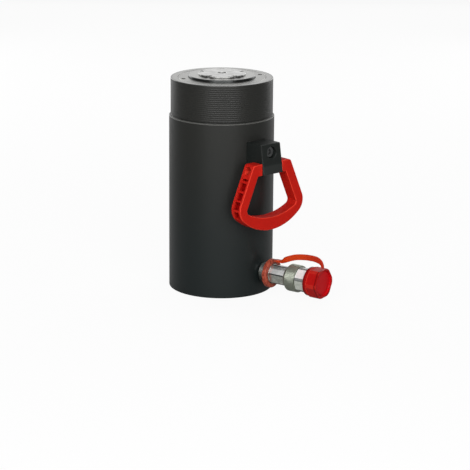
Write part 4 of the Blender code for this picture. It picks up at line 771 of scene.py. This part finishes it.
handle = plate("ribbed_handle", handle_outline(), 16.0)
handle.data.transform(Matrix.Rotation(pi / 2, 4, "Z") @ Matrix.Rotation(pi / 2, 4, "X"))
rounded(handle, 1.1, 4, 30.0)
box_data = bmesh.new()
bmesh.ops.create_cube(box_data, size=1.0)
pocket_box = new_piece("pocket_box", box_data)
guide = pocket_guide()
grown(handle, rib_pockets_tree(), Guide=guide, Cutter=pocket_box, Material=red_nylon.material)
bpy.data.objects.remove(guide)
bpy.data.objects.remove(pocket_box)
pin_hole = turned("pin_hole", [
    (0.0, 60.0), (4.65, 60.0), (4.65, 20.5), (3.3, 20.5), (3.3, -20.5), (4.65, -20.5), (4.65, -60.0),
    (0.0, -60.0)], 64)
pin_hole.data.transform(Matrix.Rotation(-pi / 2, 4, "X"))
carved(handle, pin_hole)
rounded(handle, 0.35, 2, 50.0)
mark_handle(handle.data)
finished(handle, red_nylon, "red_nylon", "handle", "carry_handle", place=HANDLE_HINGE)

# The coupler's body: a turned fitting of hexagon bar, plated bright with zinc and screwed into the
# oil port. It has a round seat, a hexagon for the spanner, and a stem that the sleeve turns on.
zinc_plate = Finish("zinc_plate", (0.42, 0.43, 0.40), 0.3, 0.85)
cloud = zinc_plate.noise(260.0, 4.0)
along, level = zinc_plate.part("X"), zinc_plate.part("Z")
reach = (zinc_plate.part("Y") ** 2 + (level - PORT_LEVEL * MM) ** 2) ** 0.5
on_hexagon = along.rise(0.0788, 0.0792) * (1 - along.rise(0.1010, 0.1014))
# The hexagons' corners are painted dark: painted reflection lines.
corners = (reach.rise(0.0121, 0.0124) * on_hexagon
           + reach.rise(0.01505, 0.0153) * along.rise(0.1180, 0.1184) * 0.8)
shaded = (1 - along.rise(0.0730, 0.0745)) * (1 - level.rise(0.027, 0.035))
# A painted highlight band along the spanner hexagon's upper flats, made less metallic.
band = on_hexagon * level.rise(0.0295, 0.0310) * (1 - level.rise(0.0345, 0.0365)) * 0.6
# The stem and nose are painted near white and made less metallic: a painted reflection.
bright = zinc_plate.blend(along.rise(0.105, 0.115) + band, (0.52, 0.53, 0.51), (0.93, 0.94, 0.94))
light = zinc_plate.blend(cloud.rise(0.3, 0.7) * 0.3, bright, (0.30, 0.31, 0.29))
grey = zinc_plate.blend(cloud.rise(0.3, 0.7), (0.40, 0.42, 0.37), (0.60, 0.615, 0.565))
# The upper half is painted lighter than the lower half: painted light from above and shade below.
plated = zinc_plate.blend(level.rise(0.0285, 0.0310), grey, light)
zinc_plate.feed(Base_Color=zinc_plate.blend(corners + shaded * 0.75, plated, (0.06, 0.065, 0.062)),
                Roughness=0.16 + cloud * 0.14,
                Metallic=0.85 - along.rise(0.105, 0.115) * 0.55 - band * 0.45)
zinc_plate.bump(zinc_plate.noise(1100.0), 0.00001)

SPANNER_HEX = (22.0, 12.5, radians(17.0))
coupler_body = turned("coupler_fitting", [
    (11.5, 118.0, 0.3), (11.5, 101.0), (11.7, 100.999), (12.5, 100.2), (12.5, 80.0), (11.7, 79.201),
    (12.0, 79.2), (12.0, 73.0), (11.6, 72.6), (11.6, 70.4), (12.0, 70.0), (12.0, 64.6, 0.6),
    (8.3, 64.6), (8.3, 49.2, 0.6), (4.0, 49.2), (4.0, 85.1), (7.0, 85.1), (7.0, 107.6), (9.0, 107.6),
    (9.0, 118.0),
], hexagon=SPANNER_HEX, hex_from=79.2, hex_to=101.0)
finished(coupler_body, zinc_plate, "zinc_plate", "cylinder", "coupler_body", place=COUPLER_AXIS)

# The coupler's sleeve: a steel collar that turns freely on the stem and locks the hose's half. Its
# outside is rolled with a fine diamond knurl for the fingers, and plated over, so it looks dull.
knurled_plate = Finish("knurled_plate", (0.30, 0.32, 0.285), 0.42, 1.0)
grime = knurled_plate.noise(120.0, 3.0)
knurled_plate.feed(Base_Color=knurled_plate.blend(grime, (0.235, 0.255, 0.205), (0.335, 0.355, 0.300)),
                   Roughness=0.38 + grime * 0.14)


def knurl_tree():
    """Covers a band of a turned piece with staggered rows of small pyramids."""
    tree, given = geometry_tree("diamond_knurl", ("Around", "Int", 70), ("Rows", "Int", 20),
                                ("Root", "Float", 0.016), ("Foot", "Float", 0.1),
                                ("Length", "Float", 0.01), ("Depth", "Float", 0.0003),
                                ("Material", "Material", None))
    start = Socket(tree)
    points = start.node("GeometryNodePoints", 0, {"Count": given["Around"] * given["Rows"]})
    index = start.node("GeometryNodeInputIndex")
    row = (index / given["Around"]).floor()
    pitch = 2 * pi / given["Around"]
    angle = (index % given["Around"] + (row % 2.0) * 0.5) * pitch
    step = given["Length"] / (given["Rows"] + 1.0)
    place = start.node("ShaderNodeCombineXYZ", 0, {
        "X": angle.cosine() * given["Root"], "Y": angle.sine() * given["Root"],
        "Z": given["Foot"] + (row + 1.0) * step})
    spread = start.node("GeometryNodeSetPosition", 0, {"Geometry": points, "Position": place})
    facing = start.node("ShaderNodeCombineXYZ", 0, {"Y": pi / 2, "Z": angle})
    cone = start.node("GeometryNodeMeshCone", "Mesh", {
        "Vertices": 4, "Radius Top": 0.0, "Radius Bottom": 1.0, "Depth": 1.0},
        fill_type="NONE")
    stretch = start.node("ShaderNodeCombineXYZ", 0, {
        "X": step * 0.98, "Y": given["Root"] * pitch * 0.49, "Z": given["Depth"]})
    copies = start.node("GeometryNodeInstanceOnPoints", 0,
                        {"Points": spread, "Instance": cone, "Rotation": facing, "Scale": stretch})
    both = start.node("GeometryNodeJoinGeometry", 0, {"Geometry": copies})
    tree.links.new(given["Geometry"].output, both.output.node.inputs[0])
    close_tree(tree, both, given["Material"])
    return tree


sleeve = turned("knurled_sleeve", [
    (11.8, 118.1), (16.3, 118.1, 0.5), (16.3, 104.7, 0.4), (13.0, 101.3, 0.3), (11.8, 101.3)])
grown(sleeve, knurl_tree(), Around=64, Rows=16, Root=0.01628, Foot=0.1048, Length=0.0127,
      Depth=0.00028, Material=knurled_plate.material)
finished(sleeve, knurled_plate, "knurled_plate", "collar", "coupler_collar", place=COUPLER_AXIS)

# The coupler's nose: hexagon steel again, screwed into the stem, with a round snout in the cap. Its
# socket takes the hose's probe, sealed by an O-ring in the socket's wall, against a steel ball.
NOSE_HEX = (28.0, 15.4, radians(17.0))
nose = turned("coupler_snout", [
    (9.0, 146.0, 0.5), (13.2, 146.0, 0.7), (13.2, 131.701, 0.2), (14.6, 131.699), (15.4, 130.9),
    (15.4, 119.2), (14.6, 118.401), (12.0, 118.4), (8.7, 118.4), (8.7, 107.9, 0.4), (4.5, 107.9),
    (4.5, 128.0), (9.0, 128.0), (9.0, 137.0), (10.6, 137.0), (10.6, 140.0), (9.0, 140.0),
], hexagon=NOSE_HEX, hex_from=118.4, hex_to=131.7)
finished(nose, zinc_plate, "zinc_plate", "cylinder", "coupler_nose", place=COUPLER_AXIS)

black_rubber = Finish("black_rubber", (0.012, 0.012, 0.012), 0.5)
black_rubber.feed(Roughness=0.45 + black_rubber.noise(500.0) * 0.15)
o_ring = turned("nose_seal_ring", [
    (9.4 + 0.9 * cos(pi * step / 12), 138.5 - 0.9 * sin(pi * step / 12)) for step in range(24)], 96)
finished(o_ring, black_rubber, "black_rubber", "cylinder", "nose_o_ring", place=COUPLER_AXIS)
ball = turned("check_ball", [(0.0, 109.94)] + [
    (5.5 * sin(pi * step / 24), 104.44 + 5.5 * cos(pi * step / 24)) for step in range(1, 24)
] + [(0.0, 98.94)], 48)
finished(ball, bare_steel, "bare_steel", "ball", "valve_ball", place=COUPLER_AXIS)

# The dust cap: soft red plastic, moulded with a round rim, six shallow flats to grip and a dished
# end. It pushes over the nose and keeps dirt out while no hose is on.
red_cap = Finish("red_cap", (0.42, 0.004, 0.004), 0.28, Coat_Roughness=0.15, Specular_IOR_Level=0.08)
sheen = red_cap.noise(70.0, 2.0)
along = red_cap.part("X")
# The cap's open end, next to the nose, is painted dark: painted shade.
mouth = 1 - along.rise(0.1326, 0.1366)
# Lighter lines on the rim's step and on the hexagon's corners: painted highlights.
step = along.rise(0.1362, 0.1367) * (1 - along.rise(0.1375, 0.1380))
reach = (red_cap.part("Y") ** 2 + (red_cap.part("Z") - PORT_LEVEL * MM) ** 2) ** 0.5
corner = reach.rise(0.01815, 0.01855)
shade = (reach.rise(0.0110, 0.0150) * (1 - red_cap.part("Y").rise(-0.006, 0.004))
         * along.rise(0.1485, 0.1489) * (1 - along.rise(0.1496, 0.1516)))
film = red_cap.blend(sheen, (0.29, 0.0020, 0.0020), (0.37, 0.0055, 0.0045))
edged = red_cap.blend(step * 0.4 + corner * 0.25, film, (0.62, 0.050, 0.030))
dish = along.rise(0.1484, 0.1488) * (1 - reach.rise(0.0156, 0.0160))
faced = red_cap.blend(dish, edged, (0.45, 0.0035, 0.0060))
red_cap.feed(Base_Color=red_cap.blend(mouth + shade * 0.85, faced, (0.13, 0.0010, 0.0012)),
             Roughness=0.30 + sheen * 0.1, Coat_Weight=sheen * 0.1)
red_cap.bump(red_cap.noise(900.0), 0.00002)

cap = turned("push_on_cap", [
    (0.0, 149.0), (15.4, 149.0, 0.5), (15.9, 151.8, 0.4), (18.6, 151.8, 0.9), (18.6, 137.4, 0.5),
    (17.5, 136.3, 0.4), (17.5, 132.0, 0.5), (13.5, 132.0, 0.4), (13.5, 147.3), (0.0, 147.3),
], hexagon=(34.0, 18.6, radians(33.4)), hex_from=137.0)
finished(cap, red_cap, "red_cap", "cap", "dust_cap", place=COUPLER_AXIS)

# The tether: one moulding of soft orange-red plastic, a ring round the fitting's seat and a flat
# strap that twists on edge and bows over to the cap.
orange_plastic = Finish("orange_plastic", (0.56, 0.036, 0.010), 0.42, Specular_IOR_Level=0.2)
flow = orange_plastic.noise(55.0, 3.0)
along = orange_plastic.part("X")
streak = orange_plastic.noise(260.0, 3.0).rise(0.35, 0.65)
# The ring is coloured darker and browner than the strap.
hoop = 1 - along.rise(0.0790, 0.0905)
brown_ring_tone = orange_plastic.blend(streak, (0.21, 0.030, 0.016), (0.36, 0.072, 0.040))
ripe = orange_plastic.blend(flow, (0.45, 0.028, 0.001), (0.52, 0.042, 0.004))
deep = orange_plastic.blend(along.rise(0.112, 0.146), ripe, (0.36, 0.016, 0.002))
orange_plastic.feed(Base_Color=orange_plastic.blend(hoop, deep, brown_ring_tone),
                    Roughness=0.38 + flow * 0.1)
orange_plastic.bump(orange_plastic.noise(1400.0, 2.0), 0.00002)

STRAP_ROUTE = [  # share of the way to the cap, height over the straight line, width, twist share
    (0.000, 0.0, 6.0, 0.0), (0.074, 1.0, 6.4, 0.0), (0.155, 0.8, 6.4, 0.06), (0.206, 1.4, 6.6, 0.30),
    (0.254, 3.1, 6.8, 0.70), (0.315, 5.0, 7.0, 0.96), (0.385, 6.8, 7.0, 1.0), (0.473, 8.6, 7.0, 1.0),
    (0.591, 9.8, 7.0, 1.0), (0.707, 10.3, 7.0, 1.0), (0.826, 10.0, 7.0, 1.0), (0.904, 8.8, 6.8, 1.0),
    (0.958, 6.6, 5.4, 1.0), (0.990, 3.4, 3.8, 1.0), (1.000, 0.0, 3.4, 1.0)]


def smooth_route(marks, pieces=6):
    """Catmull-Rom points through the marks, each a tuple of numbers."""
    route = []
    for index in range(len(marks) - 1):
        four = [marks[max(index - 1, 0)], marks[index], marks[index + 1],
                marks[min(index + 2, len(marks) - 1)]]
        for piece in range(pieces):
            t = piece / pieces
            weights = ((-t + 2 * t ** 2 - t ** 3) / 2, (2 - 5 * t ** 2 + 3 * t ** 3) / 2,
                       (t + 4 * t ** 2 - 3 * t ** 3) / 2, (-t ** 2 + t ** 3) / 2)
            route.append(tuple(sum(weight * mark[item] for weight, mark in zip(weights, four))
                               for item in range(4)))
    return route + [marks[-1]]


def strap_section(width, thickness=2.4, rounding=0.7, pieces=4):
    """Points round a flat strap with rounded edges, as (across, through) in mm."""
    points = []
    for corner, (side, face) in enumerate(((1, 1), (-1, 1), (-1, -1), (1, -1))):
        for piece in range(pieces + 1):
            angle = pi / 2 * (corner + piece / pieces)
            points.append((side * (width / 2 - rounding) + rounding * cos(angle),
                           face * (thickness / 2 - rounding) + rounding * sin(angle)))
    return points


RING_FRONT, RING_BACK, RING_RADIUS, STRAP_SINK = 78.8, 73.0, 17.6, 1.9
CAP_FRONT, CAP_TOP, STRAP_END_BACK = 151.8, 18.7 + 0.3, 2.4
tether = turned("tether_moulding", [
    (12.3, RING_FRONT, 0.3), (RING_RADIUS, RING_FRONT, 1.4), (RING_RADIUS, RING_BACK, 1.4),
    (12.3, RING_BACK, 0.3)], 128)
tether.data.transform(COUPLER_AXIS)
strap_data = bmesh.new()
strap_data.from_mesh(tether.data)
strap_start = Vector((RING_FRONT - STRAP_SINK, 0.0, PORT_LEVEL + RING_RADIUS - STRAP_SINK))
strap_end = Vector((CAP_FRONT - STRAP_END_BACK, 0.0, PORT_LEVEL + CAP_TOP))
spots = [(strap_start.lerp(strap_end, share) + Vector((0.0, 0.0, rise)), width, twist)
         for share, rise, width, twist in smooth_route(STRAP_ROUTE)]
sections = []
for index, (spot, width, twist) in enumerate(spots):
    along = (spots[min(index + 1, len(spots) - 1)][0] - spots[max(index - 1, 0)][0]).normalized()
    flat = Vector((0.0, 1.0, 0.0))
    on_edge = flat.cross(along)
    across = flat * cos(twist * pi / 2) - on_edge * sin(twist * pi / 2)
    through = along.cross(across)
    sections.append([strap_data.verts.new((spot + across * a + through * b) * MM)
                     for a, b in strap_section(width)])
for first, second in zip(sections, sections[1:]):
    for index in range(len(first)):
        after = (index + 1) % len(first)
        strap_data.faces.new((first[index], first[after], second[after], second[index]))
strap_data.faces.new(sections[0])
strap_data.faces.new(list(reversed(sections[-1])))
bpy.data.objects.remove(tether)
tether = new_piece("tether_moulding", strap_data)
finished(tether, orange_plastic, "orange_plastic", None, "cap_tether")
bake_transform(tether)

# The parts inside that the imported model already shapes: the piston and its seals, the plugs and
# bolts of the return spring, the springs, the wiper and the guide bush. They get their finishes.
bronze = Finish("bronze", (0.40, 0.24, 0.09), 0.35, 1.0)
bronze.feed(Roughness=0.3 + bronze.noise(150.0, 3.0) * 0.15)
brass = Finish("brass", (0.55, 0.38, 0.13), 0.3, 1.0)
brass.feed(Roughness=0.24 + brass.noise(150.0, 3.0) * 0.15)
blue_urethane = Finish("blue_urethane", (0.03, 0.08, 0.22), 0.4)
blue_urethane.feed(Roughness=0.35 + blue_urethane.noise(400.0) * 0.12)
inside = {
    dark_steel: ("piston", "piston_nut", "lower_spring_plug", "upper_spring_plug",
                 "lower_anchor_bolt", "upper_anchor_bolt"),
    spring_steel: ("return_spring", "ball_spring"),
    black_nylon: ("backup_ring",),
    black_rubber: ("piston_o_ring", "saddle_o_ring"),
    blue_urethane: ("piston_seal", "rod_wiper"),
    bronze: ("guide_bush", "wear_band"),
    brass: ("ball_spring_seat",),
}
for finish, names in inside.items():
    for name in names:
        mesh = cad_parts[name].data
        mesh.materials.clear()
        mesh.materials.append(finish.material)
